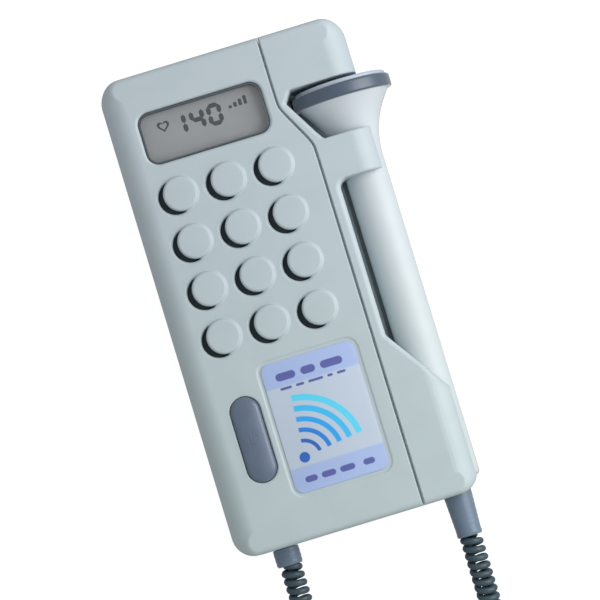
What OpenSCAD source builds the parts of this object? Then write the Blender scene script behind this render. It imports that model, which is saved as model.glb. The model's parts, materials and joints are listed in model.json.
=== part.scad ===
// Pocket fetal heart monitor with its ultrasound probe docked along its right side.
// It lies on its back: X runs across the face, Y towards the display end, Z out of the face.
// The origin is on the flat back of the case, halfway across and halfway along.

/* [Case] */
// Width of the case
case_w = 72; // [71:0.5:73]
// Length of the case
case_l = 140; // [139:0.5:141]
// Thickness of the case
case_h = 27; // [26.8:0.1:27.4]
// Corner radius of the case seen from the front
corner_r = 6.5; // [5.5:0.5:7]
// Radius of the soft shoulders along the two long front edges
shoulder_r = 7; // [6.5:0.25:7.5]
// Radius of the small rounding of the front edge at both ends
end_r = 1.6; // [1:0.2:2.2]
// Radius of the rear edges
back_r = 4; // [3.5:0.25:4.5]
// Wall thickness of the three shells
wall = 2.2; // [2:0.1:2.4]
// Height of the parting plane between the rear shell and the two front shells
split_z = 13; // [12.8:0.1:13.2]
// Width of the groove between the two front shells
groove_w = 0.8; // [0.6:0.1:1.0]
// Depth of that groove
groove_d = 1.2; // [0.8:0.1:1.6]

/* [Display] */
// Width of the display window
window_w = 36.3; // [34:0.1:36.6]
// Height of the display window
window_l = 15.2; // [14:0.1:16]
// Corner radius of the display window
window_r = 3.6; // [3:0.1:4]

/* [Loudspeaker] */
// Distance between neighbouring louvre discs
louvre_pitch = 14.05; // [13.6:0.05:14.2]
// Radius of one louvre disc
disc_r = 4.95; // [4.7:0.05:5.2]
// Height of a disc above the face
disc_h = 1.3; // [0.8:0.1:1.8]
// Radius of the hole that leaves the crescent slot beside a disc
slot_r = 4.9; // [4.7:0.1:5.1]
// How far that hole is shifted from its disc
slot_shift = 1.9; // [1.5:0.1:2.2]
// Direction of that shift, from due left towards the foot of the case
slot_turn = 20; // [10:1:30]
// Outer radius of the loudspeaker
speaker_r = 20; // [18:0.5:20]

/* [Button and label] */
// Width of the power button
button_w = 8.4; // [7.6:0.1:8.6]
// Length of the power button
button_l = 24.6; // [22:0.1:25]
// Travel of the power button
button_travel = 0.8; // [0.5:0.1:0.8]
// Width of the front label
label_w = 27.3; // [24:0.1:28]
// Length of the front label
label_l = 37.5; // [34:0.1:38]

/* [Probe] */
// Distance of the probe's axis from the middle of the case
probe_x = 30.5; // [30.3:0.1:30.7]
// Height of the probe's axis above the back of the case
probe_z = 15; // [14.8:0.1:15.2]
// Radius of the probe's handle
handle_r = 6.2; // [6:0.1:6.3]
// Radius of the probe's head at its rim
head_r = 14.4; // [14:0.1:14.5]
// Clearance between the docked probe and its channel
dock_gap = 0.4; // [0.3:0.05:0.6]

/* [Cord] */
// Diameter of the curly cord's wire
wire_d = 1.65; // [1.5:0.05:1.65]
// Outer diameter of the curls
curl_d = 6.6; // [6.4:0.1:6.6]
// Number of curls between the two boots
curls = 88; // [80:1:88]

/* [Hidden] */
$fn = 64;

far = 60;                                // reaches past the case from anywhere in it
eps = 0.05;
seam_gap = 0.05;                         // half of the gap between two front shells
rib = 1.3;                               // thickness of the inner walls
inner_z = case_h - wall;                 // inside of the front skin
end_y = case_l / 2;

// the line where the two front shells meet: straight, a slant past the display, straight again
groove_top = [12, 49];
groove_low = [18.65, 36.5];

// probe: places along its axis
tail_y = -66;
bell_y = 28.5;
rim_y = 46.8;
rim_l = 4;
face_rise = 1.7;
face_side = 1;                           // straight part of the acoustic face's edge
plug_r = 12.35;                          // plug behind the acoustic face, inside the rim
crystal_r = 9.5;
backing_r = 8.8;
bell_r = 13.2;
bell_power = 2.2;
bell_steps = 12;
shell_t = 1.7;
boot_x = probe_x - 1.8;                  // the boot leaves the tail off centre
probe_boot_r = 4.1;
probe_boot_tip_r = 3.55;
probe_boot_end_y = -82;
cup_l = 3.6;                             // hollow at a boot's end, in which the first curl starts

// openings over the docked probe
notch_y = [37, 53];                      // gap for the head
notch_x = 14.4;
head_gap = 0.6;                          // clearance round the head in the rear cover
head_floor_x = 24.6;                     // right of this the rear cover has no floor under the head
head_run = 4;                            // how far the head's space reaches past the gap at both ends
grip_x = 22.3;                           // left edge of the finger window
grip_y = [-21.2, 24.7];
grip_r = 7.6;
grip_corner_r = 2.6;
lip_x = 35.3;                            // free edge of the lips that hold the probe

// display
window_c = [-9.35, 51.1];
pane_z = case_h - 0.7;
pane_flange = 1.2;
flange_t = 0.9;
lcd_t = 2.5;
lcd_top_z = inner_z - flange_t - 0.1;
display_board_x = [-28.8, 9.8];
display_board_y = [41.6, 59.4];
display_board_z = [17.6, 19.2];

// boards and loudspeaker
board_z = [8, 9.6];
board_x = [-33, 9.2];
board_y = [-5.6, 66.5];
louvre_c = [-7.35, 12.8];
speaker_c = [-12, 12.4];
cloth_x = [-29.5, 9.6];
cloth_y = [-16.2, 41];
cloth_t = 0.3;
gasket_r = speaker_r - 1.2;
gasket_w = 1.8;
gasket_t = 0.95;
speaker_z = inner_z - 1.4;               // front of the loudspeaker's basket
speaker_lead_x = 6.4;

// power button
button_c = [-21.8, -38.5];
button_base_z = 23.4;
button_top_z = case_h + 1.2;
button_flange = 1.2;
button_board_size = [12, 30];
button_board_z = [20.4, 21.2];
switch_z = 22.1;                         // top of the switch's body

// label, in a shallow recess
label_c = [-0.85, -38.2];
label_r = 2.4;
label_t = 0.3;
label_gap = 1.1;

// battery bay and its sliding door
bay_x = [-31.6, -4.0];
bay_y = [-61.8, -8.0];
bay_z = 19.9;
battery_size = [26.5, 46.5, 17.5];
battery_at = [-31.05, -60.3, 2.3];
door_x = -3.3;
door_y = [-62.6, -7.2];
door_t = 1.9;
door_slant = 0.6;
door_gap = 0.1;

// volume wheel and headphone socket, both in the display end
wheel_c = [-17.5, 61.3];
wheel_r = 8;
wheel_z = [11, 14.4];
shaft_r = 1.5;
socket_x = 2;
socket_z = 12.6;
socket_bore_r = 1.8;
socket_barrel_r = 2.9;

// pocket clip in the back
clip_w = 20;
clip_y = [11, 60.2];
clip_z = [0.3, 2.5];
clip_gap = 0.5;
clip_pocket_y = [5, 61.4];
clip_pocket_z = 3.3;
clip_pin_y = 58;
clip_pin_z = 3.0;
clip_pin_r = 1.0;
clip_knuckle_r = 2.3;
clip_well_y = 54.6;
clip_well_z = 5.8;

// screws from the back: places of those in the front cover and in the holster cover
cover_screws = [[-29.5, 63], [-30.5, -1.6], [6, -61.5], [14.4, 24]];
holster_screws = [[24.5, 63], [21.2, -52]];
screw_r = 1.25;
screw_head_r = 2.4;
screw_seat_z = 5;
screw_tip_z = 18;
boss_r = 3.2;

// cord: where it leaves the case, and how it lies in one bend below the case
case_boot_x = -22.5;
case_boot_z = 13;
case_boot_r = 3.8;
case_boot_end_y = -75.2;
curl_r = (curl_d - wire_d) / 2;
bend_r = (boot_x - case_boot_x) / 2;
bend_y = -139;
rest_z = curl_d / 2 + 0.05;
fall_l = 40;                             // length over which the cord comes down to the table
rings = 8;                               // rings in one curl
straight = 2.2;                          // straight length of wire at each boot

// ---------------------------------------------------------------- shapes used by several parts

module corner_cut(r) {
    difference() {
        translate([-eps, -eps]) square(r + eps);
        translate([r, r]) circle(r = r);
    }
}

// a rectangle on its centre with round corners
module round_rect(w, l, r) {
    difference() {
        square([w, l], center = true);
        for (sx = [-1, 1], sy = [-1, 1])
            scale([sx, sy]) translate([-w / 2, -l / 2]) corner_cut(r);
    }
}

// a rectangle that stands on the X axis, with one radius at its top corners and one at its foot
module standing_rect(w, h, top_r, foot_r) {
    difference() {
        translate([-w / 2, 0]) square([w, h]);
        for (side = [-1, 1]) {
            scale([side, 1]) translate([-w / 2, 0]) corner_cut(foot_r);
            scale([side, -1]) translate([-w / 2, -h]) corner_cut(top_r);
        }
    }
}

// a stadium on its centre, long along Y
module stadium(w, l) {
    square([w, l - w], center = true);
    for (side = [-1, 1]) translate([0, side * (l - w) / 2]) circle(d = w);
}

module slab(z0, z1) {
    translate([-far, -2 * far, z0]) cube([2 * far, 4 * far, z1 - z0]);
}

module block(x, y, z) {
    translate([x[0], y[0], z[0]]) cube([x[1] - x[0], y[1] - y[0], z[1] - z[0]]);
}

// the case's outer form, or the form a wall thickness inside it
module case_form(inset = 0) {
    w = case_w - 2 * inset;
    l = case_l - 2 * inset;
    h = case_h - 2 * inset;
    translate([0, 0, inset]) intersection() {
        linear_extrude(h) round_rect(w, l, corner_r - inset);
        rotate([90, 0, 0]) linear_extrude(l + 2, center = true)
            standing_rect(w, h, shoulder_r - inset, back_r - inset);
        rotate([90, 0, 90]) linear_extrude(w + 2, center = true)
            standing_rect(l, h, max(end_r - inset, 0.4), max(back_r / 2 - inset, 0.4));
    }
}

// everything to the left, or to the right, of the line where the front shells meet
module left_side(shift) {
    polygon([
        [-far, -2 * far], [groove_low[0] + shift, -2 * far], [groove_low[0] + shift, groove_low[1]],
        [groove_top[0] + shift, groove_top[1]], [groove_top[0] + shift, 2 * far], [-far, 2 * far]
    ]);
}

module right_side(shift) {
    polygon([
        [far, -2 * far], [groove_low[0] + shift, -2 * far], [groove_low[0] + shift, groove_low[1]],
        [groove_top[0] + shift, groove_top[1]], [groove_top[0] + shift, 2 * far], [far, 2 * far]
    ]);
}

module groove_cut() {
    translate([0, 0, case_h - groove_d]) linear_extrude(far) intersection() {
        left_side(groove_w / 2);
        right_side(-groove_w / 2);
    }
}

// a straight wire or lead through the given points, with round corners
module lead(points, d) {
    for (i = [0 : len(points) - 2]) {
        run = points[i + 1] - points[i];
        translate(points[i]) rotate([0, acos(run[2] / norm(run)), atan2(run[1], run[0])])
            cylinder(d = d, h = norm(run), $fn = 16);
    }
    for (i = [1 : len(points) - 2]) translate(points[i]) sphere(d = d, $fn = 16);
}

module screw_places(places) {
    for (place = places) translate([place[0], place[1], 0]) children();
}

// ---------------------------------------------------------------- the docked probe's space

// radius of the probe's body: a straight handle that flares into a bell
function body_r(y) = y < bell_y ? handle_r
    : handle_r + (bell_r - handle_r) * pow((y - bell_y) / (rim_y - bell_y), bell_power);

// outline of the probe's body from its tail to its rim, grown by a gap
function body_outline(gap, y0, y1) = concat(
    [[0, y0], [handle_r + gap, y0], [handle_r + gap, bell_y]],
    [for (i = [1 : bell_steps])
        let (y = bell_y + (y1 - bell_y) * i / bell_steps) [body_r(y) + gap, y]],
    [[0, y1]]
);

// turns a profile of radius and place along the axis into a solid round the probe's axis
module round_probe(x = probe_x) {
    translate([x, 0, probe_z]) rotate([-90, 0, 0]) rotate_extrude() children();
}

// the space that the body needs in the dock and on its way out to the right
module dock_space(gap) {
    outline = body_outline(gap, tail_y - gap, rim_y);
    round_probe() polygon(outline);
    translate([probe_x, 0, probe_z]) for (side = [-1, 1])
        rotate([90, 0, 90]) linear_extrude(far)
            polygon([for (p = outline) [p[1], side * p[0]]]);
    boot_gap_r = probe_boot_r + gap;
    translate([boot_x, tail_y + eps, probe_z]) rotate([90, 0, 0])
        cylinder(r = boot_gap_r, h = 10);
    block([boot_x, far], [tail_y - 10, tail_y + eps], [probe_z - boot_gap_r, probe_z + boot_gap_r]);
}

// plan of the gap for the probe's head, grown by a margin
module notch_plan(margin = 0) {
    polygon([
        [notch_x - margin, 49.6], [notch_x + 2.2 - margin, notch_y[1] + margin],
        [far, notch_y[1] + margin], [far, notch_y[0] - margin],
        [notch_x + 7.5 - margin / 2, notch_y[0] - margin], [notch_x + 6 - margin, notch_y[0] + 2.2]
    ]);
}

// round trough for the head in the rear cover, open below and to the right, grown by a margin
module head_space(margin = 0) {
    y0 = notch_y[0] - head_run;
    y1 = notch_y[1] + head_run;
    round_probe() translate([0, y0]) square([head_r + head_gap + margin, y1 - y0]);
    block([head_floor_x - margin, far], [y0, y1], [-1, far]);
}

// plan of the finger window over the handle, with its slanted lower edge
module grip_plan() {
    difference() {
        polygon([
            [grip_x, grip_y[1]], [far, grip_y[1]], [far, -41], [36, -41], [grip_x, grip_y[0]]
        ]);
        translate([grip_x, grip_y[1]]) scale([1, -1]) corner_cut(grip_corner_r);
    }
}

// ---------------------------------------------------------------- openings in the display end

module end_openings() {
    // slot for the volume wheel and a scallop for the thumb
    translate([wheel_c[0], wheel_c[1], wheel_z[0] - 0.4])
        cylinder(r = wheel_r + 0.4, h = wheel_z[1] - wheel_z[0] + 0.8);
    translate([wheel_c[0], end_y + 6.6, wheel_z[0] - 1.6])
        cylinder(r = 9, h = wheel_z[1] - wheel_z[0] + 3.2);
    // hole for the headphone socket
    translate([socket_x, end_y + 1, socket_z]) rotate([90, 0, 0])
        cylinder(r = socket_barrel_r + 0.2, h = wall + 2);
}

module case_boot_hole() {
    translate([case_boot_x, -end_y + wall + 1, case_boot_z]) rotate([90, 0, 0])
        cylinder(r = 2.9, h = wall + 2);
}

// ---------------------------------------------------------------- shells

function louvre_places() = [for (column = [-1 : 1], row = [-1.5 : 1.5])
    louvre_c + louvre_pitch * [column, row]];

// raised disc with a soft edge
module louvre_disc() {
    edge = 0.7;
    rotate_extrude() difference() {
        square([disc_r, wall + disc_h]);
        translate([disc_r, wall + disc_h]) scale([-1, -1]) corner_cut(edge);
    }
}

module front_cover() {
    color("gainsboro") difference() {
        union() {
            intersection() {
                case_form();
                translate([0, 0, split_z]) linear_extrude(far) left_side(-seam_gap);
            }
            for (place = louvre_places())
                translate([place[0], place[1], inner_z]) louvre_disc();
        }
        // hollow inside, with a wall along the seam and bosses for the screws
        difference() {
            intersection() {
                case_form(wall);
                translate([0, 0, split_z - 1]) linear_extrude(far) left_side(-seam_gap - rib);
            }
            screw_places(cover_screws) translate([0, 0, split_z]) cylinder(r = boss_r, h = case_h);
        }
        screw_places(cover_screws) translate([0, 0, split_z - 1])
            cylinder(r = screw_r + 0.02, h = screw_tip_z - split_z + 2);
        // crescent slots of the louvres
        for (place = louvre_places()) translate([place[0], place[1], 0]) difference() {
            rotate([0, 0, slot_turn]) translate([-slot_shift, 0, inner_z - 1])
                cylinder(r = slot_r, h = wall + 2);
            cylinder(r = disc_r, h = far);
        }
        translate([window_c[0], window_c[1], inner_z - 1]) linear_extrude(far)
            round_rect(window_w, window_l, window_r);
        translate([button_c[0], button_c[1], inner_z - 1]) linear_extrude(far)
            stadium(button_w + 0.4, button_l + 0.4);
        translate([label_c[0], label_c[1], case_h - label_t]) linear_extrude(far)
            round_rect(label_w + 2 * label_gap, label_l + 2 * label_gap, label_r + label_gap);
        groove_cut();
        end_openings();
        case_boot_hole();
    }
}

module holster_cover() {
    color("gainsboro") difference() {
        intersection() {
            case_form();
            translate([0, 0, split_z]) linear_extrude(far) right_side(seam_gap);
        }
        // hollow of the block above the probe's head
        difference() {
            intersection() {
                case_form(wall);
                translate([0, 0, split_z - 1]) linear_extrude(far) right_side(seam_gap + rib);
                translate([0, notch_y[1] + wall, 0]) cube([far, far, far]);
            }
            screw_places(holster_screws) translate([0, 0, split_z]) cylinder(r = boss_r, h = case_h);
        }
        screw_places(holster_screws) translate([0, 0, split_z - 1])
            cylinder(r = screw_r + 0.02, h = screw_tip_z - split_z + 2);
        dock_space(dock_gap);
        translate([0, 0, -1]) linear_extrude(far) notch_plan();
        translate([0, 0, split_z - 1]) linear_extrude(far) grip_plan();
        // blunt free edge of the lips
        block([lip_x, far], [-far * 2, notch_y[1]], [split_z - 1, far]);
        groove_cut();
    }
}

module bay_walls(z0, z1) {
    difference() {
        block([bay_x[0] - rib, bay_x[1] + rib], [bay_y[0] - rib, bay_y[1] + rib], [z0, z1]);
        block(bay_x, bay_y, [z0 - 1, z1 + 1]);
    }
}

// the door's dovetail section, grown by a gap
module door_section(gap) {
    polygon([
        [door_y[0] - gap, door_t + gap], [door_y[1] + gap, door_t + gap],
        [door_y[1] - door_slant + gap, -gap], [door_y[0] + door_slant - gap, -gap]
    ]);
}

module rear_cover() {
    bay_frame_z = 3.4;
    color("gainsboro") {
        difference() {
            intersection() {
                case_form();
                slab(-1, split_z);
            }
            // hollow inside, round the dock, the bay, the clip's housing and the screw columns
            difference() {
                intersection() {
                    case_form(wall);
                    slab(0, split_z + 1);
                }
                dock_space(dock_gap + 2);
                intersection() {
                    translate([0, 0, -1]) linear_extrude(far) notch_plan(2);
                    head_space(2);
                }
                translate([probe_x, grip_y[1] + 2, probe_z]) rotate([90, 0, 0])
                    cylinder(r = grip_r + 2, h = grip_y[1] - grip_y[0] + 8);
                block([bay_x[0] - 3, door_x + 1.5], [door_y[0] - 1.6, door_y[1] + 1.6],
                    [0, bay_frame_z]);
                bay_walls(0, split_z + 2);
                block([-clip_w / 2 - 2.6, clip_w / 2 + 2.6],
                    [clip_pocket_y[0] - 1.8, clip_pocket_y[1] + 1.8], [0, clip_pocket_z + 1.8]);
                block([-clip_w / 2 - 2.6, clip_w / 2 + 2.6], [clip_well_y - 1.8, clip_pocket_y[1] + 1.8],
                    [0, clip_well_z + 1.6]);
                screw_places(concat(cover_screws, holster_screws)) cylinder(r = boss_r, h = far);
            }
            // battery opening and the door's sliding seat
            block(bay_x, bay_y, [-1, far]);
            translate([door_x + door_gap, 0, 0]) rotate([90, 0, -90]) linear_extrude(far)
                mirror([1, 0]) door_section(door_gap);
            // pocket of the clip, with a deeper well for its knuckles
            block([-clip_w / 2 - clip_gap, clip_w / 2 + clip_gap], clip_pocket_y,
                [-1, clip_pocket_z]);
            block([-clip_w / 2 - clip_gap, clip_w / 2 + clip_gap], [clip_well_y, clip_pocket_y[1]],
                [-1, clip_well_z]);
            translate([0, clip_pin_y, clip_pin_z]) rotate([0, 90, 0])
                cylinder(r = clip_pin_r + 0.02, h = clip_w + 4.2, center = true);
            screw_places(concat(cover_screws, holster_screws)) {
                translate([0, 0, -1]) cylinder(r = screw_r + 0.25, h = far);
                translate([0, 0, -1]) cylinder(r = screw_head_r + 0.4, h = screw_seat_z + 1);
            }
            dock_space(dock_gap);
            intersection() {
                translate([0, 0, -1]) linear_extrude(far) notch_plan();
                head_space();
            }
            translate([probe_x, grip_y[1], probe_z]) rotate([90, 0, 0])
                cylinder(r = grip_r, h = grip_y[1] - grip_y[0] + 4);
            block([lip_x, far], [-2 * far, notch_y[1]], [probe_z - 10.2, far]);
            end_openings();
            case_boot_hole();
        }
        bay_walls(split_z - eps, bay_z);
    }
}

// ---------------------------------------------------------------- display

module lcd_window() {
    color("lightsteelblue", 0.5) translate([window_c[0], window_c[1], 0]) {
        translate([0, 0, inner_z - eps]) linear_extrude(pane_z - inner_z + eps)
            round_rect(window_w - 0.2, window_l - 0.2, window_r);
        translate([0, 0, inner_z - flange_t]) linear_extrude(flange_t - 0.02)
            round_rect(window_w + 2 * pane_flange, window_l + 2 * pane_flange, window_r);
    }
}

module lcd_glass() {
    color("darkgray") translate([window_c[0], window_c[1], lcd_top_z - lcd_t])
        linear_extrude(lcd_t) square([window_w + 1, window_l + 2], center = true);
}

module lcd_zebra_strips() {
    color("dimgray") for (side = [-1, 1])
        translate([window_c[0], window_c[1] + side * window_l / 2, 0])
            block([-window_w / 2 + 2, window_w / 2 - 2], [-1, 1],
                [display_board_z[1], lcd_top_z - lcd_t]);
}

module display_board() {
    color("darkgreen") block(display_board_x, display_board_y, display_board_z);
}

module board_headers() {
    color("black") {
        block([-28.4, -26.2], [42.6, 51.6], [board_z[1], display_board_z[0]]);
        block([6.2, 8.4], [42.6, 53], [board_z[1], display_board_z[0]]);
    }
}

// ---------------------------------------------------------------- boards

module main_board() {
    color("darkgreen") difference() {
        block(board_x, board_y, board_z);
        // corners left out for two of the screw bosses
        for (place = [cover_screws[0], cover_screws[1]])
            block([-far, place[0] + 4], [place[1] - 4, place[1] + 4], [0, far]);
    }
}

module board_chips() {
    color("black") {
        block([-26, -16], [36, 42], [board_z[1], board_z[1] + 1.6]);
        block([-8, 2], [40, 50], [board_z[1], board_z[1] + 1.6]);
        block([-30, -24], [4, 14], [board_z[1], board_z[1] + 1.2]);
        block([2, 7.5], [0, 6], [board_z[1], board_z[1] + 1.8]);
        // can of the quartz crystal
        block([-8.5, -4], [52, 63], [board_z[1], board_z[1] + 3.4]);
    }
}

module button_board() {
    color("darkgreen") translate([button_c[0], button_c[1], button_board_z[0]])
        linear_extrude(button_board_z[1] - button_board_z[0]) square(button_board_size, center = true);
}

module power_switch() {
    color("silver") translate([button_c[0], button_c[1], 0]) {
        block([-3, 3], [-3, 3], [button_board_z[1], switch_z]);
        translate([0, 0, switch_z - eps])
            cylinder(r = 1.6, h = button_base_z - button_travel - switch_z - eps);
    }
}

// ---------------------------------------------------------------- loudspeaker

module speaker_cloth() {
    color("black") difference() {
        block(cloth_x, cloth_y, [inner_z - eps - cloth_t, inner_z - eps]);
        screw_places(cover_screws) cylinder(r = boss_r + 0.4, h = far);
    }
}

module speaker_gasket() {
    color("dimgray") translate([speaker_c[0], speaker_c[1], speaker_z + eps]) difference() {
        cylinder(r = gasket_r, h = gasket_t);
        translate([0, 0, -1]) cylinder(r = gasket_r - gasket_w, h = gasket_t + 2);
    }
}

// a profile of radius and height turned round the loudspeaker's axis, from its front face down
module turned_speaker() {
    translate([speaker_c[0], speaker_c[1], speaker_z]) rotate_extrude() children();
}

module speaker_basket() {
    color("silver") difference() {
        turned_speaker() polygon([
            [speaker_r, 0], [speaker_r, -1.2], [17.4, -1.2], [10.6, -6.4], [10.6, -7.2], [6, -7.2],
            [6, -6.4], [9.8, -6.4], [16.8, -0.9], [16.8, 0]
        ]);
        // windows between the spokes
        for (turn = [0 : 60 : 300])
            translate([speaker_c[0], speaker_c[1], 0]) rotate([0, 0, turn])
                block([10.9, 15.4], [-2.6, 2.6], [0, speaker_z - 1.5]);
    }
}

module speaker_cone() {
    color("black") turned_speaker()
        polygon([[16.7, -0.3], [16.7, -0.6], [14.4, -0.9], [5, -5.6], [0, -3.9], [0, -3.6],
            [5.1, -5.2], [14.6, -0.6]]);
}

module speaker_magnet() {
    color("gray") turned_speaker() polygon([[0, -10.6], [9, -10.6], [9, -7.25], [0, -7.25]]);
}

module speaker_leads() {
    rim_z = speaker_z - 1.2;
    color("firebrick") for (side = [-1, 1]) lead([
        [speaker_lead_x, speaker_c[1] + side, rim_z],
        [speaker_lead_x, speaker_c[1] + side, board_z[1]]
    ], 0.8);
}

// ---------------------------------------------------------------- controls

// stadium with a gently crowned top
module power_button() {
    crown = 0.9;
    half_w = button_w / 2;
    crown_r = (half_w * half_w + crown * crown) / (2 * crown);
    run = button_l - button_w;
    color("slategray") translate([button_c[0], button_c[1], 0]) {
        rotate([90, 0, 0]) linear_extrude(run, center = true) crowned_section(half_w, crown_r, 2);
        for (side = [-1, 1]) translate([0, side * run / 2, 0])
            rotate_extrude() crowned_section(half_w, crown_r, 1);
        translate([0, 0, button_base_z]) linear_extrude(inner_z - 0.3 - button_base_z)
            stadium(button_w + 2 * button_flange, button_l + 2 * button_flange);
    }
}

// half or whole cross-section of the button
module crowned_section(half_w, crown_r, sides) {
    intersection() {
        translate([sides == 2 ? -half_w : 0, button_base_z])
            square([sides * half_w, button_top_z - button_base_z]);
        translate([0, button_top_z - crown_r]) circle(r = crown_r, $fn = 96);
    }
}

module volume_wheel() {
    teeth = 30;
    color("slategray") translate([wheel_c[0], wheel_c[1], 0]) difference() {
        translate([0, 0, wheel_z[0]]) cylinder(r = wheel_r, h = wheel_z[1] - wheel_z[0]);
        cylinder(r = shaft_r + 0.05, h = far);
        for (i = [0 : teeth - 1]) rotate([0, 0, i * 360 / teeth])
            translate([wheel_r + 0.1, 0, 0]) cylinder(r = 0.5, h = far, $fn = 16);
    }
}

module volume_pot() {
    color("dimgray") translate([wheel_c[0], wheel_c[1], 0]) {
        block([-5, 5], [-5, 5], [board_z[1], wheel_z[0] - 0.2]);
        cylinder_z = wheel_z[0] - 0.3;
        translate([0, 0, cylinder_z]) cylinder(r = shaft_r, h = wheel_z[1] + 0.3 - cylinder_z);
    }
}

module headphone_socket() {
    color("dimgray") difference() {
        union() {
            block([socket_x - 3.5, socket_x + 3.5], [end_y - wall - 12.5, end_y - wall - 0.1],
                [board_z[1], socket_z + 3.2]);
            translate([socket_x, end_y - 0.3, socket_z]) rotate([90, 0, 0])
                cylinder(r = socket_barrel_r, h = wall);
        }
        translate([socket_x, end_y, socket_z]) rotate([90, 0, 0])
            cylinder(r = socket_bore_r, h = 12.3);
    }
}

// ---------------------------------------------------------------- battery

module battery() {
    color("goldenrod") translate(battery_at) cube(battery_size);
}

module battery_snap() {
    snap_y = battery_at[1] + battery_size[1];
    middle_x = battery_at[0] + battery_size[0] / 2;
    color("black") {
        block([middle_x - 12.5, middle_x + 12.5], [snap_y + 2.6, snap_y + 4.4], [5, 17.5]);
        for (side = [-1, 1]) translate([middle_x + side * 6.35, snap_y + 2.7, 11])
            rotate([90, 0, 0]) cylinder(r = 2.9, h = 2.65);
    }
}

module battery_leads() {
    snap_y = battery_at[1] + battery_size[1] + 4.4;
    over_z = bay_z + 0.6;
    color("firebrick") for (x = [-10, -12]) lead([
        [x, snap_y, 14], [x, snap_y + 0.8, 14], [x, snap_y + 0.8, over_z],
        [x, board_y[0] + 1, over_z], [x, board_y[0] + 1, board_z[1]]
    ], 0.9);
}

module battery_pad() {
    color("dimgray") block([bay_x[0] + 2, bay_x[1] - 2], [bay_y[0], battery_at[1] - 0.05], [4, 17]);
}

module battery_door() {
    color("gainsboro") difference() {
        intersection() {
            case_form();
            translate([door_x, 0, 0]) rotate([90, 0, -90]) linear_extrude(far)
                mirror([1, 0]) door_section(0);
        }
        // thumb ridges
        for (i = [0 : 5]) block([-30, -22], [-36 + i * 2, -35.2 + i * 2], [-1, 0.4]);
    }
}

// ---------------------------------------------------------------- pocket clip

module along_x() {
    translate([0, clip_pin_y, clip_pin_z]) rotate([0, 90, 0]) children();
}

module pocket_clip() {
    window = 4.6;
    color("slategray") difference() {
        union() {
            translate([0, (clip_y[0] + clip_y[1]) / 2, clip_z[0]])
                linear_extrude(clip_z[1] - clip_z[0])
                    round_rect(clip_w, clip_y[1] - clip_y[0], 2);
            along_x() cylinder(r = clip_knuckle_r, h = clip_w, center = true);
            // grip bead near the free end
            translate([0, clip_y[0] + 4, clip_z[1] - 0.4]) rotate([0, 90, 0])
                cylinder(r = 1, h = clip_w - 4, center = true);
        }
        along_x() cylinder(r = clip_pin_r + 0.05, h = far, center = true);
        block([-window, window], [54.5, far], [-1, 8]);
    }
}

module clip_pin() {
    color("silver") along_x() cylinder(r = clip_pin_r, h = clip_w + 4, center = true);
}

// ---------------------------------------------------------------- wound wire

// one tube of few sides along a list of points; aims holds a side direction for each point
module wound_tube(points, aims, d, sides) {
    last = len(points) - 1;
    ring_points = [for (i = [0 : last])
        let (
            run = points[min(i + 1, last)] - points[max(i - 1, 0)],
            t = run / norm(run),
            side = aims[i] - (aims[i] * t) * t,
            u = side / norm(side),
            v = cross(t, u)
        )
        for (k = [0 : sides - 1])
            points[i] + d / 2 * (cos(360 * k / sides) * u + sin(360 * k / sides) * v)];
    walls = [for (i = [0 : last - 1], k = [0 : sides - 1])
        let (
            a = i * sides + k,
            b = i * sides + (k + 1) % sides
        )
        each [[a, a + sides, b], [b, a + sides, b + sides]]];
    caps = [for (k = [1 : sides - 2])
        each [[0, k, k + 1], [last * sides, last * sides + k + 1, last * sides + k]]];
    polyhedron(points = ring_points, faces = concat(walls, caps));
}

// distance between a point and the stretch between two others
function stretch_gap(p, a, b) =
    let (run = b - a, share = max(0, min(1, (p - a) * run / (run * run)))) norm(p - a - share * run);

// least gap between a wire and its own neighbouring turns, measured at its points
function least_gap(points, d, turn) = min([for (i = [0 : len(points) - turn - 3])
    min([for (j = [i + turn - 3 : i + turn + 1]) stretch_gap(points[i], points[j], points[j + 1])])
]) - d;

// torsion spring round the clip's pin, with one short leg at each end
spring_turns = 5;
spring_r = 1.75;
spring_d = 0.5;
spring_pitch = 0.96;
spring_leg = 2.6;

function spring_point(i) =
    let (a = 360 * i / rings)
    [spring_pitch * (i / rings - spring_turns / 2), clip_pin_y - spring_r * sin(a),
        clip_pin_z + spring_r * cos(a)];

spring_wire = concat(
    [[-spring_pitch * spring_turns / 2, clip_pin_y + spring_leg * 0.9, clip_pin_z + spring_r]],
    [for (i = [0 : spring_turns * rings]) spring_point(i)],
    [[spring_pitch * spring_turns / 2, clip_pin_y - spring_leg, clip_pin_z + spring_r]]
);

module clip_spring() {
    color("silver") wound_tube(spring_wire, [for (p = spring_wire) [1, 0, 0]], spring_d, 6);
}

// ---------------------------------------------------------------- fastenings and label

module case_screws() {
    color("silver") screw_places(concat(cover_screws, holster_screws)) difference() {
        union() {
            translate([0, 0, screw_seat_z - 1.8]) cylinder(r = screw_head_r, h = 1.8);
            translate([0, 0, screw_seat_z - eps])
                cylinder(r = screw_r, h = screw_tip_z - screw_seat_z);
        }
        for (turn = [0, 90]) rotate([0, 0, turn])
            block([-1.4, 1.4], [-0.3, 0.3], [0, screw_seat_z - 0.9]);
    }
}

module label_plate() {
    color("lavender") translate([label_c[0], label_c[1], case_h - label_t])
        linear_extrude(label_t - 0.05) round_rect(label_w, label_l, label_r);
}

// ---------------------------------------------------------------- boots and leads

// outline of the hollow in a boot whose mouth is at y, from its lip to its bottom
function cup(y) = [[3.2, y], [1.3, y - cup_l + 1.4], [1.3, y - cup_l], [0, y - cup_l]];

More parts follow.
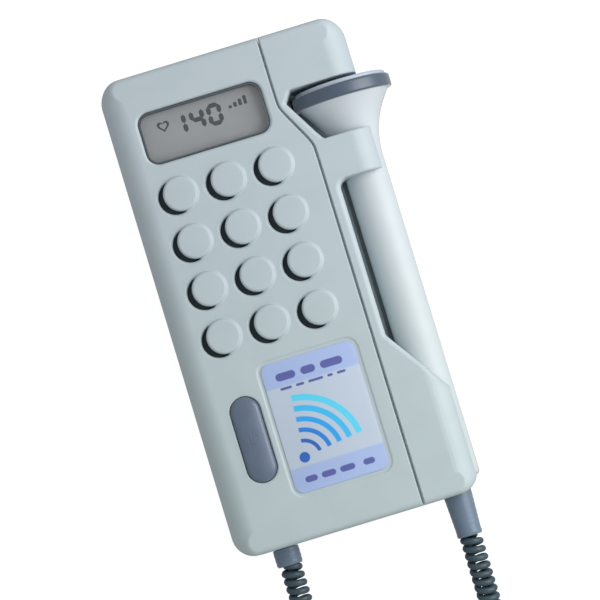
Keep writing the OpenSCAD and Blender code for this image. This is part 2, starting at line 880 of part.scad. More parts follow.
module case_boot() {
    color("slategray") translate([case_boot_x, 0, case_boot_z]) rotate([90, 0, 0])
        rotate_extrude() polygon([
            [0, end_y - wall - 1.5], [4.4, end_y - wall - 1.5], [4.4, end_y - wall - 0.05],
            [2.85, end_y - wall - 0.05], [2.85, end_y + 0.05], [case_boot_r, end_y + 0.05],
            [case_boot_r, end_y + 3.2], [probe_boot_tip_r, -case_boot_end_y],
            each cup(-case_boot_end_y)
        ]);
}

module case_cord_lead() {
    lead_y = -end_y + wall + 2.9;
    color("darkslategray") lead([
        [case_boot_x, -end_y + wall + 1.5, case_boot_z], [case_boot_x, lead_y, case_boot_z],
        [0, lead_y, case_boot_z], [0, -4, case_boot_z], [0, -4, board_z[1]]
    ], wire_d);
}

module probe_boot() {
    color("slategray") translate([boot_x, 0, probe_z]) rotate([90, 0, 0]) rotate_extrude()
        polygon([
            [0, -tail_y - 3.3], [2.7, -tail_y - 3.3], [2.7, -tail_y - 2.05],
            [2.15, -tail_y - 2.05], [2.15, -tail_y + 0.05], [probe_boot_r, -tail_y + 0.05],
            [probe_boot_r, -tail_y + 4], [probe_boot_tip_r, -probe_boot_end_y],
            each cup(-probe_boot_end_y)
        ]);
}

// ---------------------------------------------------------------- curly cord

// how far the guide line has gone when it starts and ends its bend
cord_start_y = case_boot_end_y + cup_l;
leg_a = cord_start_y - bend_y;
leg_b = probe_boot_end_y + cup_l - bend_y;
guide_l = leg_a + PI * bend_r + leg_b;

function ease(x) = let (t = max(0, min(1, x))) t * t * (3 - 2 * t);

// angle turned in the bend, in degrees
function bend_angle(s) = max(0, min(180, (s - leg_a) / bend_r * 180 / PI));

// height of the guide line: level in the cups, down from one boot to the table and up to the other
function guide_z(s) = rest_z + (case_boot_z - rest_z) * (1 - ease((s - cup_l) / fall_l))
    + (probe_z - rest_z) * (1 - ease((guide_l - s - cup_l) / fall_l));

// a place on the guide line, which the curls go round
function guide(s) =
    let (a = bend_angle(s), up = max(0, s - leg_a - PI * bend_r))
    [case_boot_x + bend_r * (1 - cos(a)), cord_start_y - min(s, leg_a) - bend_r * sin(a) + up,
        guide_z(s)];

// side direction of the guide line, level and square to it
function guide_side(s) = let (a = bend_angle(s)) [cos(a), sin(a), 0];

// direction square to the guide line and to its side direction
function guide_lift(s) =
    let (run = guide(min(s + 0.2, guide_l)) - guide(max(s - 0.2, 0)))
    cross(guide_side(s), run / norm(run));

// direction from the guide line to the wire, after a number of turns
function curl_aim(s, turns) = cos(360 * turns) * guide_side(s) + sin(360 * turns) * guide_lift(s);

// the wire eases out to the curl's radius over its first turn and back over its last
function curl_point(turns) =
    let (
        s = straight + (guide_l - 2 * straight) * turns / curls,
        r = curl_r * ease(turns) * ease(curls - turns)
    )
    guide(s) + r * curl_aim(s, turns);

cord_wire = concat(
    [guide(0)],
    [for (i = [0 : curls * rings]) curl_point(i / rings)],
    [guide(guide_l)]
);
cord_aims = concat(
    [curl_aim(0, 0)],
    [for (i = [0 : curls * rings])
        curl_aim(straight + (guide_l - 2 * straight) * i / rings / curls, i / rings)],
    [curl_aim(guide_l, curls)]
);
cord_length = [for (i = 1, l = 0; i < len(cord_wire);
    l = l + norm(cord_wire[i] - cord_wire[i - 1]), i = i + 1) l];

module curly_cord() {
    echo(cord_gap = least_gap(cord_wire, wire_d, rings));
    echo(cord_length = cord_length[len(cord_length) - 1]);
    color("darkslategray") wound_tube(cord_wire, cord_aims, wire_d, 6);
}

// ---------------------------------------------------------------- probe

module probe_shell() {
    difference() {
        round_probe() polygon(body_outline(0, tail_y, rim_y));
        round_probe() polygon(body_outline(-shell_t, tail_y + 2, rim_y + 1));
        translate([boot_x, tail_y - 1, probe_z]) rotate([-90, 0, 0]) cylinder(r = 2.2, h = 4);
    }
}

module probe_shell_front() {
    color("whitesmoke") intersection() {
        probe_shell();
        slab(probe_z + 0.02, far);
    }
}

module probe_shell_back() {
    color("whitesmoke") intersection() {
        probe_shell();
        slab(-far, probe_z - 0.02);
    }
}

module probe_rim() {
    color("lightslategray") round_probe() polygon([
        [plug_r + eps, rim_y + 0.02], [head_r - 0.7, rim_y + 0.02], [head_r, rim_y + 0.9],
        [head_r, rim_y + rim_l - 0.7], [head_r - 0.5, rim_y + rim_l], [plug_r + eps, rim_y + rim_l]
    ]);
}

// the domed acoustic face and the plug that holds it in the rim
module probe_face() {
    face_r = head_r - 1;
    dome_rise = face_rise - face_side;
    dome_r = (face_r * face_r + dome_rise * dome_rise) / (2 * dome_rise);
    color("steelblue") round_probe() {
        translate([0, rim_y + 0.6]) square([plug_r, rim_l]);
        intersection() {
            translate([0, rim_y + rim_l + 0.02]) square([face_r, face_rise]);
            translate([0, rim_y + rim_l + face_rise - dome_r]) circle(r = dome_r, $fn = 128);
        }
    }
}

module half_crystal(side) {
    intersection() {
        round_probe() translate([0, rim_y - 0.7]) square([crystal_r, 1.2]);
        block(side > 0 ? [probe_x + 0.4, far] : [0, probe_x - 0.4], [0, far], [0, far]);
    }
}

module crystal_transmit() {
    color("khaki") half_crystal(-1);
}

module crystal_receive() {
    color("khaki") half_crystal(1);
}

module crystal_backing() {
    color("sienna") round_probe() translate([0, rim_y - 2.8]) square([backing_r, 2]);
}

module probe_board() {
    color("darkgreen") block([probe_x - 3.4, probe_x + 3.4], [-12, 18], [probe_z - 0.5, probe_z + 0.5]);
}

module probe_leads() {
    color("firebrick") {
        for (side = [-1, 1]) lead([
            [probe_x + side, 18, probe_z], [probe_x + side, rim_y - 2.9, probe_z]
        ], 0.7);
        lead([[boot_x, -12, probe_z], [boot_x, tail_y + 3.3, probe_z]], wire_d);
    }
}

front_cover();
holster_cover();
rear_cover();
lcd_window();
lcd_glass();
lcd_zebra_strips();
display_board();
board_headers();
main_board();
board_chips();
speaker_cloth();
speaker_gasket();
speaker_basket();
speaker_cone();
speaker_magnet();
speaker_leads();
power_button();
button_board();
power_switch();
volume_wheel();
volume_pot();
headphone_socket();
battery();
battery_snap();
battery_leads();
battery_pad();
battery_door();
pocket_clip();
clip_pin();
clip_spring();
case_screws();
label_plate();
case_boot();
case_cord_lead();
curly_cord();
probe_shell_front();
probe_shell_back();
probe_rim();
probe_face();
crystal_transmit();
crystal_receive();
crystal_backing();
probe_board();
probe_leads();
probe_boot();
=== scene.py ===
import json
import math

import bmesh
import bpy
import numpy as np
from mathutils import Matrix, Vector
from mathutils.geometry import delaunay_2d_cdt

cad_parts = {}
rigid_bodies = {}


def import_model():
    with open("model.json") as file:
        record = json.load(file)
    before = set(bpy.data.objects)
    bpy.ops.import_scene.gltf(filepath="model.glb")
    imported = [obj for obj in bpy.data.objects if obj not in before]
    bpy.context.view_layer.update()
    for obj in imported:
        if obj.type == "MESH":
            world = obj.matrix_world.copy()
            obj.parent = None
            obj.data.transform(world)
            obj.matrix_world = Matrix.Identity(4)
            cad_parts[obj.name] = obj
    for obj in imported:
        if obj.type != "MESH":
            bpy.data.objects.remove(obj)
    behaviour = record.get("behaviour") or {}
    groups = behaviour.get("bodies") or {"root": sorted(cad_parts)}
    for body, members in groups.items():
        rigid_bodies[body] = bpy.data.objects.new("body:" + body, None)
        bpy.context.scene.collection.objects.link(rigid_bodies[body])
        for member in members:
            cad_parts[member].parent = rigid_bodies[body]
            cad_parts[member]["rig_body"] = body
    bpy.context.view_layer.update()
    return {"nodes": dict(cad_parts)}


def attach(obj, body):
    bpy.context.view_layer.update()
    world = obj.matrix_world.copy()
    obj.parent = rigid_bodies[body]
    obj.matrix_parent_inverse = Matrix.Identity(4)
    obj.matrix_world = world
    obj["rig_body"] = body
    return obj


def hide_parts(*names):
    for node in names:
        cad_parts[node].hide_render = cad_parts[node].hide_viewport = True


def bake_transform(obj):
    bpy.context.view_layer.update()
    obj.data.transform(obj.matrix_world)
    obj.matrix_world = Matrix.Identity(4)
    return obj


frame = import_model()
MM = 0.001


# ------------------------ the camera
# A long lens looks down on the monitor, which lies on its back. It stands a little towards the foot of the
# case and to its right, and is rolled, so that the case leans to the left in the picture.

lens_mm = 250
sensor_mm = 36
seen_mm = 168.8                       # side of the picture, measured on the face of the case
aim_mm = (2.1, -4.7, 27)
lean = math.radians(16.9)             # the picture's up direction, from the length of the case
from_foot = math.radians(3.3)
from_right = math.radians(0.5)

back = Vector((math.tan(from_right), -math.tan(from_foot), 1)).normalized()
across = Vector((math.sin(lean), math.cos(lean), 0)).cross(back).normalized()
upward = back.cross(across)
camera = bpy.data.objects.new("camera", bpy.data.cameras.new("camera"))
camera.data.lens = lens_mm
camera.data.sensor_width = sensor_mm
camera.data.clip_start = 0.01
camera.data.clip_end = 20
turn = Matrix((across, upward, back)).transposed().to_4x4()
distance = seen_mm * MM * lens_mm / sensor_mm
camera.matrix_world = Matrix.Translation(Vector(aim_mm) * MM + back * distance) @ turn
bpy.context.scene.collection.objects.link(camera)
bpy.context.scene.camera = camera


# ------------------------ the table and the light
# A white table that glows, so that shadows on it stay faint, one soft lamp on the right-hand side, and even
# light from all round. Only the camera sees the table: its reflected light comes from the sky below it.

def srgb(red, green, blue):
    """Linear colour of a display colour given from 0 to 255."""
    share = np.array([red, green, blue]) / 255
    linear = np.where(share <= 0.04045, share / 12.92, ((share + 0.055) / 1.055) ** 2.4)
    return (*linear.tolist(), 1)


def operator(operation, swapped=False):
    """A method of Field that adds a Math node. The field is its first value or, swapped, its last."""
    def method(field, *others):
        values = (*others, field) if swapped else (field, *others)
        return field.math(operation, *values)
    return method


class Field:
    """A shader socket that arithmetic works on: each operator adds one Math node to the socket's tree."""

    __add__, __radd__ = operator("ADD"), operator("ADD", swapped=True)
    __sub__, __rsub__ = operator("SUBTRACT"), operator("SUBTRACT", swapped=True)
    __mul__, __rmul__ = operator("MULTIPLY"), operator("MULTIPLY", swapped=True)
    __truediv__, __pow__, __abs__ = operator("DIVIDE"), operator("POWER"), operator("ABSOLUTE")
    most, fract, sine = operator("MAXIMUM"), operator("FRACT"), operator("SINE")

    def __init__(self, tree, socket):
        self.tree = tree
        self.socket = socket

    def math(self, operation, *values):
        node = self.tree.nodes.new("ShaderNodeMath")
        node.operation = operation
        for slot, value in zip(node.inputs, values):
            feed(self.tree, slot, value)
        return Field(self.tree, node.outputs[0])

    def step(self, start, end):
        """0 before start, 1 after end, and smooth in between; start may be the larger one."""
        node = self.tree.nodes.new("ShaderNodeMapRange")
        node.interpolation_type = "SMOOTHSTEP"
        for slot, value in zip(node.inputs, (self, start, end, 0, 1)):
            feed(self.tree, slot, value)
        return Field(self.tree, node.outputs[0])


def feed(tree, slot, value):
    """Links a Field to a socket, or sets the socket's own value."""
    if isinstance(value, Field):
        tree.links.new(value.socket, slot)
    else:
        slot.default_value = value


class Finish:
    """A material with one Principled shader, whose constants are set on the shader's own sockets."""

    def __init__(self, name, roughness=0.5, **constants):
        self.material = bpy.data.materials.new(name)
        self.material.use_nodes = True
        self.tree = self.material.node_tree
        self.tree.nodes.clear()
        self.shader = self.tree.nodes.new("ShaderNodeBsdfPrincipled")
        self.shader.inputs["Roughness"].default_value = roughness
        for name, value in constants.items():
            self.shader.inputs[name.replace("_", " ")].default_value = value
        self.output = self.tree.nodes.new("ShaderNodeOutputMaterial")
        self.tree.links.new(self.shader.outputs[0], self.output.inputs[0])

    def node(self, kind, settings=None, inputs=None, output=0):
        """Adds a node, sets it up, feeds its sockets and gives one of its outputs as a Field."""
        node = self.tree.nodes.new(kind)
        for name, value in (settings or {}).items():
            setattr(node, name, value)
        for name, value in (inputs or {}).items():
            feed(self.tree, node.inputs[name], value)
        return Field(self.tree, node.outputs[output])

    def place(self):
        """Object coordinates x, y and z in millimetres."""
        parts = self.tree.nodes.new("ShaderNodeSeparateXYZ")
        feed(self.tree, parts.inputs[0], self.node("ShaderNodeTexCoord", output="Object"))
        return [Field(self.tree, part) / MM for part in parts.outputs]

    def noise(self, size_mm, detail=2, vector=None):
        """Noise from 0 to 1 whose grains are about size_mm across."""
        inputs = {"Scale": 1 / (size_mm * MM), "Detail": detail}
        inputs["Vector"] = vector or self.node("ShaderNodeTexCoord", output="Object")
        return self.node("ShaderNodeTexNoise", inputs=inputs)

    def mix(self, share, first, second):
        """The first colour where share is 0 and the second where it is 1."""
        return self.node("ShaderNodeMix", {"data_type": "RGBA"}, {0: share, 6: first, 7: second}, 2)

    def paint(self, **sockets):
        """Feeds the shader's sockets."""
        for name, value in sockets.items():
            feed(self.tree, self.shader.inputs[name.replace("_", " ")], value)
        return self

    def bump(self, height, depth_mm, strength=1.0):
        """Raises the surface by up to depth_mm where height is 1."""
        inputs = {"Height": height, "Distance": depth_mm * MM, "Strength": strength}
        return self.paint(Normal=self.node("ShaderNodeBump", inputs=inputs))


def grid_faces(rows, columns, closed_rows=False, closed_columns=False):
    """Four-sided faces of a grid of points that is stored row by row."""
    row = np.arange(rows if closed_rows else rows - 1)[:, None]
    column = np.arange(columns if closed_columns else columns - 1)[None, :]
    next_row = (row + 1) % rows
    next_column = (column + 1) % columns
    corners = (row * columns + column, row * columns + next_column,
               next_row * columns + next_column, next_row * columns + column)
    return np.stack(corners, -1).reshape(-1, 4)


def capped_grid(rows, columns):
    """Faces of a grid whose rows are closed rings, with one more face over the first and over the last."""
    last = (rows - 1) * columns
    sides = grid_faces(rows, columns, closed_columns=True).tolist()
    return sides + [range(columns - 1, -1, -1), range(last, last + columns)]


smooth_up_to = math.radians(40)       # edges flatter than this are shaded smooth


def mesh_object(name, points_mm, faces, finish):
    """An object whose mesh has these points, given in millimetres, shaded smooth up to an edge angle."""
    mesh = bpy.data.meshes.new(name)
    mesh.from_pydata((np.asarray(points_mm) * MM).tolist(), [], [list(face) for face in faces])
    mesh.polygons.foreach_set("use_smooth", np.ones(len(mesh.polygons), bool))
    mesh.set_sharp_from_angle(angle=smooth_up_to)
    mesh.materials.append(finish.material)
    made = bpy.data.objects.new(name, mesh)
    bpy.context.scene.collection.objects.link(made)
    return made


table_half_mm, table_z = 3000, -0.02
table_albedo = (0.2, 0.2, 0.205, 1)
table_glow = 0.9

table_finish = Finish("pale_table", roughness=0.9)
table_finish.shader.inputs["Emission Strength"].default_value = table_glow
table_finish.paint(Base_Color=table_albedo, Emission_Color=(1, 1, 1, 1))
glowing = Field(table_finish.tree, table_finish.shader.outputs[0])
see_through = table_finish.node("ShaderNodeBsdfTransparent")
to_camera = table_finish.node("ShaderNodeLightPath", output="Is Camera Ray")
beneath = table_finish.node("ShaderNodeNewGeometry", output="Backfacing")
shown = to_camera * (1 - beneath)
seen = table_finish.node("ShaderNodeMixShader", inputs={0: shown, 1: see_through, 2: glowing})
table_finish.tree.links.new(seen.socket, table_finish.output.inputs[0])
side = table_half_mm
corners = [(-side, -side, table_z), (side, -side, table_z), (side, side, table_z), (-side, side, table_z)]
table = mesh_object("table", corners, [(0, 1, 2, 3)], table_finish)

lamp_from = Vector((0.79, 0.03, 0.61)).normalized()
lamp_distance = 0.45
lamp_power = 1.8
lamp_size = 0.35

lamp = bpy.data.objects.new("lamp", bpy.data.lights.new("lamp", "AREA"))
lamp.data.energy = lamp_power
lamp.data.size = lamp_size
lamp.visible_camera = False
lamp.matrix_world = (Matrix.Translation(lamp_from * lamp_distance)
                     @ lamp_from.to_track_quat("Z", "Y").to_matrix().to_4x4())
bpy.context.scene.collection.objects.link(lamp)

sky_above, sky_below = 0.6, 0.4
sky_seen = 0.95

sky = bpy.data.worlds.new("sky")
sky.use_nodes = True
sky_shader = sky.node_tree.nodes["Background"]
ray = sky.node_tree.nodes.new("ShaderNodeLightPath")
share = Field(sky.node_tree, ray.outputs["Is Camera Ray"])
coordinates = sky.node_tree.nodes.new("ShaderNodeTexCoord")
direction = sky.node_tree.nodes.new("ShaderNodeSeparateXYZ")
sky.node_tree.links.new(coordinates.outputs["Generated"], direction.inputs[0])
height = Field(sky.node_tree, direction.outputs["Z"]).step(-0.1, 0.1)
strength = height * (sky_above - sky_below) + sky_below
feed(sky.node_tree, sky_shader.inputs["Strength"], share * sky_seen + (1 - share) * strength)
sky_shader.inputs["Color"].default_value = (0.96, 0.99, 1, 1)
bpy.context.scene.world = sky
bpy.context.scene.view_settings.view_transform = "Standard"


# ------------------------ the curly cord
# One PVC-sheathed wire wound into 88 curls. It leaves the case's boot, comes down to the table, lies in one
# bend below the case and goes up into the probe's boot. It stretches when the probe is taken out of its
# holster; here it is one fixed mesh, drawn with the probe in the holster.

wire_mm = 1.95
curl_mm = 6.6
curls = 88
rings_in_curl = 20
wire_sides = 12
case_boot_x = -22.5
probe_boot_x = 28.7
case_boot_z = 13
probe_boot_z = 15
cord_start_y = -71.6                  # bottom of the cup in the case's boot
cord_end_y = -78.4                    # bottom of the cup in the probe's boot
bend_y = -139
rest_z = curl_mm / 2 + 0.05
fall_mm = 40                          # length over which the cord comes down to the table
cup_mm = 3.6                          # depth of the cup at each boot's end
straight_mm = 2.2                     # straight length of wire in each boot

curl_r = (curl_mm - wire_mm) / 2
bend_r = (probe_boot_x - case_boot_x) / 2
leg_a = cord_start_y - bend_y
leg_b = cord_end_y - bend_y
guide_mm = leg_a + math.pi * bend_r + leg_b


def ease(x):
    """0 below 0, 1 above 1, and a smooth step in between."""
    t = np.clip(x, 0, 1)
    return t * t * (3 - 2 * t)


def stack(*parts):
    """Points whose coordinates are the given arrays or numbers."""
    return np.stack(np.broadcast_arrays(*parts), -1)


def guide(s):
    """The line that the curls go round, at a length s along it: down one leg, round a half circle and back
    up the other leg, at the table's height in the middle and at the boots' heights at both ends."""
    angle = np.clip((s - leg_a) / bend_r, 0, math.pi)
    back_up = np.maximum(0, s - leg_a - math.pi * bend_r)
    height = (rest_z + (case_boot_z - rest_z) * (1 - ease((s - cup_mm) / fall_mm))
              + (probe_boot_z - rest_z) * (1 - ease((guide_mm - s - cup_mm) / fall_mm)))
    x = case_boot_x + bend_r * (1 - np.cos(angle))
    y = cord_start_y - np.minimum(s, leg_a) - bend_r * np.sin(angle) + back_up
    return stack(x, y, height)


def unit(vectors):
    """The same directions with length 1."""
    return vectors / np.linalg.norm(vectors, axis=-1, keepdims=True)


def curl_aim(s, turns):
    """Direction from the guide line to the wire after a number of turns: it goes round the line once a
    turn."""
    angle = np.clip((s - leg_a) / bend_r, 0, math.pi)
    level = stack(np.cos(angle), np.sin(angle), 0)
    run = guide(np.minimum(s + 0.2, guide_mm)) - guide(np.maximum(s - 0.2, 0))
    lift = np.cross(level, unit(run))
    phase = 2 * math.pi * turns[:, None]
    return np.cos(phase) * level + np.sin(phase) * lift


def tube(path, aims, radius, sides):
    """Points and faces of a round tube: a ring of the given radius round each point of the path, square to
    the path, whose first direction is the part of the aim that is square to the path. Both ends are
    closed."""
    along = unit(np.gradient(path, axis=0))
    first = unit(aims - (aims * along).sum(1, keepdims=True) * along)
    second = np.cross(along, first)
    angle = np.linspace(0, 2 * math.pi, sides, endpoint=False)[None, :, None]
    rings = path[:, None] + radius * (np.cos(angle) * first[:, None] + np.sin(angle) * second[:, None])
    return rings.reshape(-1, 3), capped_grid(len(path), sides)


turns = np.linspace(0, curls, curls * rings_in_curl + 1)
run_mm = straight_mm + (guide_mm - 2 * straight_mm) * turns / curls
opening_out = (curl_r * ease(turns) * ease(curls - turns))[:, None]
wire = guide(run_mm) + opening_out * curl_aim(run_mm, turns)
ends = guide(np.array([0, straight_mm / 2, guide_mm - straight_mm / 2, guide_mm]))
wire = np.vstack([ends[:2], wire, ends[2:]])
aims = curl_aim(run_mm, turns)
aims = np.vstack([aims[:1], aims[:1], aims, aims[-1:], aims[-1:]])

cord_finish = Finish("cord_sheath", Specular_IOR_Level=0.45)
sheath = cord_finish.noise(0.8, 3)
grease = cord_finish.noise(14, 2)
cord_finish.paint(Base_Color=cord_finish.mix(sheath, srgb(42, 58, 67), srgb(68, 88, 99)),
                  Roughness=0.34 + 0.2 * grease)
cord_finish.bump(cord_finish.noise(0.25, 2), 0.02, 0.5)

cord = mesh_object("cord_curls", *tube(wire, aims, wire_mm / 2, wire_sides), cord_finish)
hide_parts("curly_cord")
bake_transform(cord)


# ------------------------ the rear cover, the battery door and the clip
# Injection-moulded ABS with a fine spark-eroded texture. The rear cover is half of the case and carries the
# boards; the door slides off sideways over the battery; the slate clip swings on a pin.

def casing_finish(name, tone, deep):
    """Moulded ABS: a faint mottle in the colour, a fine grain in the surface and a slightly uneven gloss."""
    finish = Finish(name, Specular_IOR_Level=0.4)
    x, y, z = finish.place()
    mottle = finish.noise(9, 3)
    cool = (y / 70).step(-1.1, 1.1)
    warm = [level * share for level, share in zip(tone, (0.97, 1.0, 0.975))] + [1]
    fresh = [level * share for level, share in zip(tone, (1.0, 0.995, 1.02))] + [1]
    colour = finish.mix(cool, warm, fresh)
    colour = finish.mix(mottle.step(0.35, 0.75) * 0.35, colour, deep)
    grain = finish.noise(0.32, 2)
    finish.paint(Base_Color=colour, Roughness=0.40 + 0.10 * mottle + 0.06 * grain)
    return finish.bump(grain, 0.02, 0.35)


case_grey = srgb(180, 191, 195)[:3]
case_finish = casing_finish("case_abs", case_grey, srgb(170, 183, 187))
slate_finish = casing_finish("slate_abs", srgb(86, 97, 120)[:3], srgb(76, 86, 106))


merge_m = 2e-6                        # points closer than this, in metres, are one
flat_up_to = math.radians(0.3)        # faces that meet flatter than this are one
bevel_from = math.radians(32)         # edges sharper than this are rounded


def softened(node, width_mm, finish):
    """The CAD node's own shape with its doubled points merged, its flat faces joined up and its edges
    rounded."""
    source = frame["nodes"][node]
    mesh = source.data.copy()
    work = bmesh.new()
    work.from_mesh(mesh)
    bmesh.ops.remove_doubles(work, verts=work.verts, dist=merge_m)
    bmesh.ops.dissolve_limit(work, angle_limit=flat_up_to, verts=work.verts, edges=work.edges)
    for face in work.faces:
        face.smooth = True
    work.to_mesh(mesh)
    work.free()
    mesh.materials.clear()
    mesh.materials.append(finish.material)
    made = bpy.data.objects.new(node + "_shell", mesh)
    bpy.context.scene.collection.objects.link(made)
    bevel = made.modifiers.new("edges", "BEVEL")
    bevel.width = width_mm * MM
    bevel.segments = 2
    bevel.limit_method = "ANGLE"
    bevel.angle_limit = bevel_from
    bevel.harden_normals = True
    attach(made, source["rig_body"])
    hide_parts(node)


softened("rear_cover", 0.35, case_finish)
softened("battery_door", 0.3, case_finish)
softened("pocket_clip", 0.35, slate_finish)


# ------------------------ the front cover
# ABS shell with the display opening, the loudspeaker's twelve louvres, the hole of the power button and a
# shallow recess for the label. It is screwed on from the back, and its right-hand edge follows the groove.

case_size = (72, 140)
case_h = 27
corner_r = 6.5
shoulder_r = 7                        # rounding of the front edge along the sides
end_r = 1.6                           # and along the ends
wall = 2.2
inner_z = case_h - wall
split_z = 13
rib = 1.3
half_gap = 0.05
inner_wall = half_gap + rib           # from the middle of the groove to the inside of a cover's wall
groove_half = 0.35
groove_floor = 26.0
groove_edge_r = 0.25
seam_top, seam_low = (12, 49), (18.65, 36.5)   # ends of the groove's slant past the display
seam_bend = 1.2
hair = 0.01                           # width of a step that is as good as upright
past_end, past_side = 71, 37          # where lines end that run out over the case's outline
louvre_centre = (-7.35, 12.8)
louvre_pitch = 14.05
disc_r = 4.95
disc_h = 1.3
disc_edge_r = 0.7
disc_foot_r = 0.5
disc_crown = 0.12
slot_r = 4.9
slot_shift = 1.75                     # from the disc's centre, in a direction slot_turn below due left
slot_turn = math.radians(20)
slot_edge_r = 0.8
window_centre, window_size, window_r, window_edge_r = (-9.35, 51.1), (36.3, 15.2), 3.6, 0.9
button_centre, button_hole, button_edge_r = (-21.8, -38.5), (8.8, 25.0), 0.5
label_centre, label_recess, label_recess_r = (-0.85, -38.2), (29.5, 39.7), 3.5
label_depth, label_slope = 0.3, 0.7   # depth of the recess and width of its soft edge
cover_screws = [(-29.5, 63), (-30.5, -1.6), (6, -61.5), (14.4, 24)]
boss_r = 3.2
screw_hole_r = 1.27
screw_tip_z = 18
wheel_centre, wheel_slot_r, wheel_slot_z = (-17.5, 61.3), 8.4, 14.8
thumb_centre, thumb_r, thumb_z = (-17.5, 76.6), 9, 16
socket_x, socket_z, socket_hole_r = 2, 12.6, 3.1
boot_hole_r = 2.9


def box_edge(x, y, centre, size, r):
    """Distance to the edge of a rectangle with round corners, negative inside it."""
    beyond_x = np.abs(x - centre[0]) - size[0] / 2 + r
    beyond_y = np.abs(y - centre[1]) - size[1] / 2 + r
    outside = np.hypot(np.maximum(beyond_x, 0), np.maximum(beyond_y, 0))
    return outside + np.minimum(np.maximum(beyond_x, beyond_y), 0) - r


def drop(d, r):
    """How far a surface has come down at a distance d inside an edge that is rounded to radius r."""
    t = np.clip(r - d, 0, r)
    return r - np.sqrt(np.maximum(r * r - t * t, 0))


def rim_r(x, y):
    """Rounding of the case's front edge: the share of the shoulder's radius is the square of how far the
    nearest edge faces sideways."""
    beyond_x = np.maximum(np.abs(x) - case_size[0] / 2 + corner_r, 0)
    beyond_y = np.maximum(np.abs(y) - case_size[1] / 2 + corner_r, 0)
    sideways = beyond_x ** 2 / np.maximum(beyond_x ** 2 + beyond_y ** 2, 1e-9)
    return end_r + (shoulder_r - end_r) * sideways


def from_rim(x, y):
    """Distance inside the case's outline."""
    return -box_edge(x, y, (0, 0), case_size, corner_r)


def face_z(x, y):
    """Height of the case's face: flat, and rounded off along its outline."""
    return case_h - drop(from_rim(x, y), rim_r(x, y))


def ceiling_z(x, y):
    """Height of the inside of the shell, a wall's thickness in from the face."""
    return inner_z - drop(from_rim(x, y) - wall, np.maximum(rim_r(x, y) - wall, 0.4))


def seam_x(y):
    """The middle of the groove: two straight runs joined by a slant, with the bends drawn out into
    hyperbolas."""
    slant = (seam_low[0] - seam_top[0]) / (seam_top[1] - seam_low[1])
    after_top, after_low = [(start - y + np.hypot(start - y, seam_bend)) / 2
                            for _, start in (seam_top, seam_low)]
    return seam_top[0] + slant * (after_top - after_low)


def seam_stretch(y):
    """How much longer the groove is than its rise along Y."""
    return np.sqrt(1 + ((seam_x(y + 0.05) - seam_x(y - 0.05)) / 0.1) ** 2)


def from_seam(x, y):
    """Distance to the left of the middle of the groove."""
    return (seam_x(y) - x) / seam_stretch(y)


def seam_line(distance):
    """The line at that distance to the left of the middle of the groove."""
    y = np.concatenate([[-past_end, -20], np.linspace(30, 56, 53), [past_end]])
    return np.stack([seam_x(y) - distance * seam_stretch(y), y], -1)


def groove(z, distance):
    """Takes the groove out of a height z at a distance from its middle: a ledge, then a rounded edge."""
    return np.where(distance < groove_half - hair / 2, np.minimum(z, groove_floor),
                    z - drop(distance - groove_half, groove_edge_r))


def arc(centre, r, steps=64, start=0.0, end=2 * math.pi):
    """Points along a circle."""
    angle = np.linspace(start, end, steps + 1)
    return np.stack([centre[0] + r * np.cos(angle), centre[1] + r * np.sin(angle)], -1)


def box_loop(centre, size, r, out=0.0, steps=10):
    """The line at a distance out from a rectangle with round corners: four quarter circles joined up."""
    radius = max(r + out, 0.01)
    half = np.array(size) / 2 + out - radius
    corners = [(1, 1), (-1, 1), (-1, -1), (1, -1)]
    quarters = [arc(np.array(centre) + half * corner, radius, steps, turn, turn + math.pi / 2)
                for corner, turn in zip(corners, np.arange(4) * math.pi / 2)]
    return np.vstack(quarters + [quarters[0][:1]])


def rounding_steps(r, steps=5):
    """Distances in from a rounded edge at even turns of its arc, and one just past it."""
    return [*(r * (1 - np.cos(np.linspace(0, math.pi / 2, steps + 1)))), r + 0.2]


def rim_loops(r_inside=0.0):
    """Lines along the case's outline, or as far inside it as given, at even turns of its rounding."""
    outline = box_loop((0, 0), case_size, corner_r, steps=16)
    facing = unit(outline - box_loop((0, 0), case_size, corner_r, -1, steps=16))
    radius = np.maximum(rim_r(*outline.T) - r_inside, 0.4)[:, None]
    insets = [radius * (1 - math.cos(turn)) for turn in np.linspace(0, math.pi / 2, 9)]
    return [outline - facing * (r_inside + inset) for inset in insets + [radius + 0.2]]


def pillar(lines, keep, top, under):
    """A closed solid between two heights. The area between the lines is filled with triangles in the plan,
    and those whose middle is in keep(x, y) are lifted to top(x, y) and, turned over, to under(x, y). Each
    edge that only one of them has gets an upright wall."""
    counts = [len(line) for line in lines]
    starts = np.cumsum([0] + counts[:-1])
    edges = np.vstack([np.stack([start + np.arange(n - 1), start + np.arange(1, n)], -1)
                       for start, n in zip(starts, counts)])
    laid = delaunay_2d_cdt([Vector(p) for p in np.vstack(lines)], edges.tolist(), [], 0, 1e-5, False)
    plan = np.array([tuple(p) for p in laid[0]])
    triangles = np.array([face[:3] for face in laid[2]])
    corners = plan[triangles]
    middle = corners.mean(1)
    sides = corners[:, 1:] - corners[:, :1]
    area = sides[:, 0, 0] * sides[:, 1, 1] - sides[:, 0, 1] * sides[:, 1, 0]
    triangles = triangles[keep(*middle.T) & (area > 1e-9)]
    used, triangles = np.unique(triangles, return_inverse=True)
    triangles = triangles.reshape(-1, 3)
    x, y = plan[used].T
    count = len(used)
    rim = np.vstack([triangles[:, [0, 1]], triangles[:, [1, 2]], triangles[:, [2, 0]]])
    key = rim.min(1) * count + rim.max(1)
    _, first, times = np.unique(key, return_index=True, return_counts=True)
    a, b = rim[first[times == 1]].T
    walls = np.stack([a, a + count, b + count, b], -1)
    points = np.vstack([stack(x, y, top(x, y)), stack(x, y, under(x, y))])
    return points, triangles.tolist() + (triangles[:, ::-1] + count).tolist() + walls.tolist()


def from_point(x, y, point):
    """Distance from a point."""
    return np.hypot(x - point[0], y - point[1])


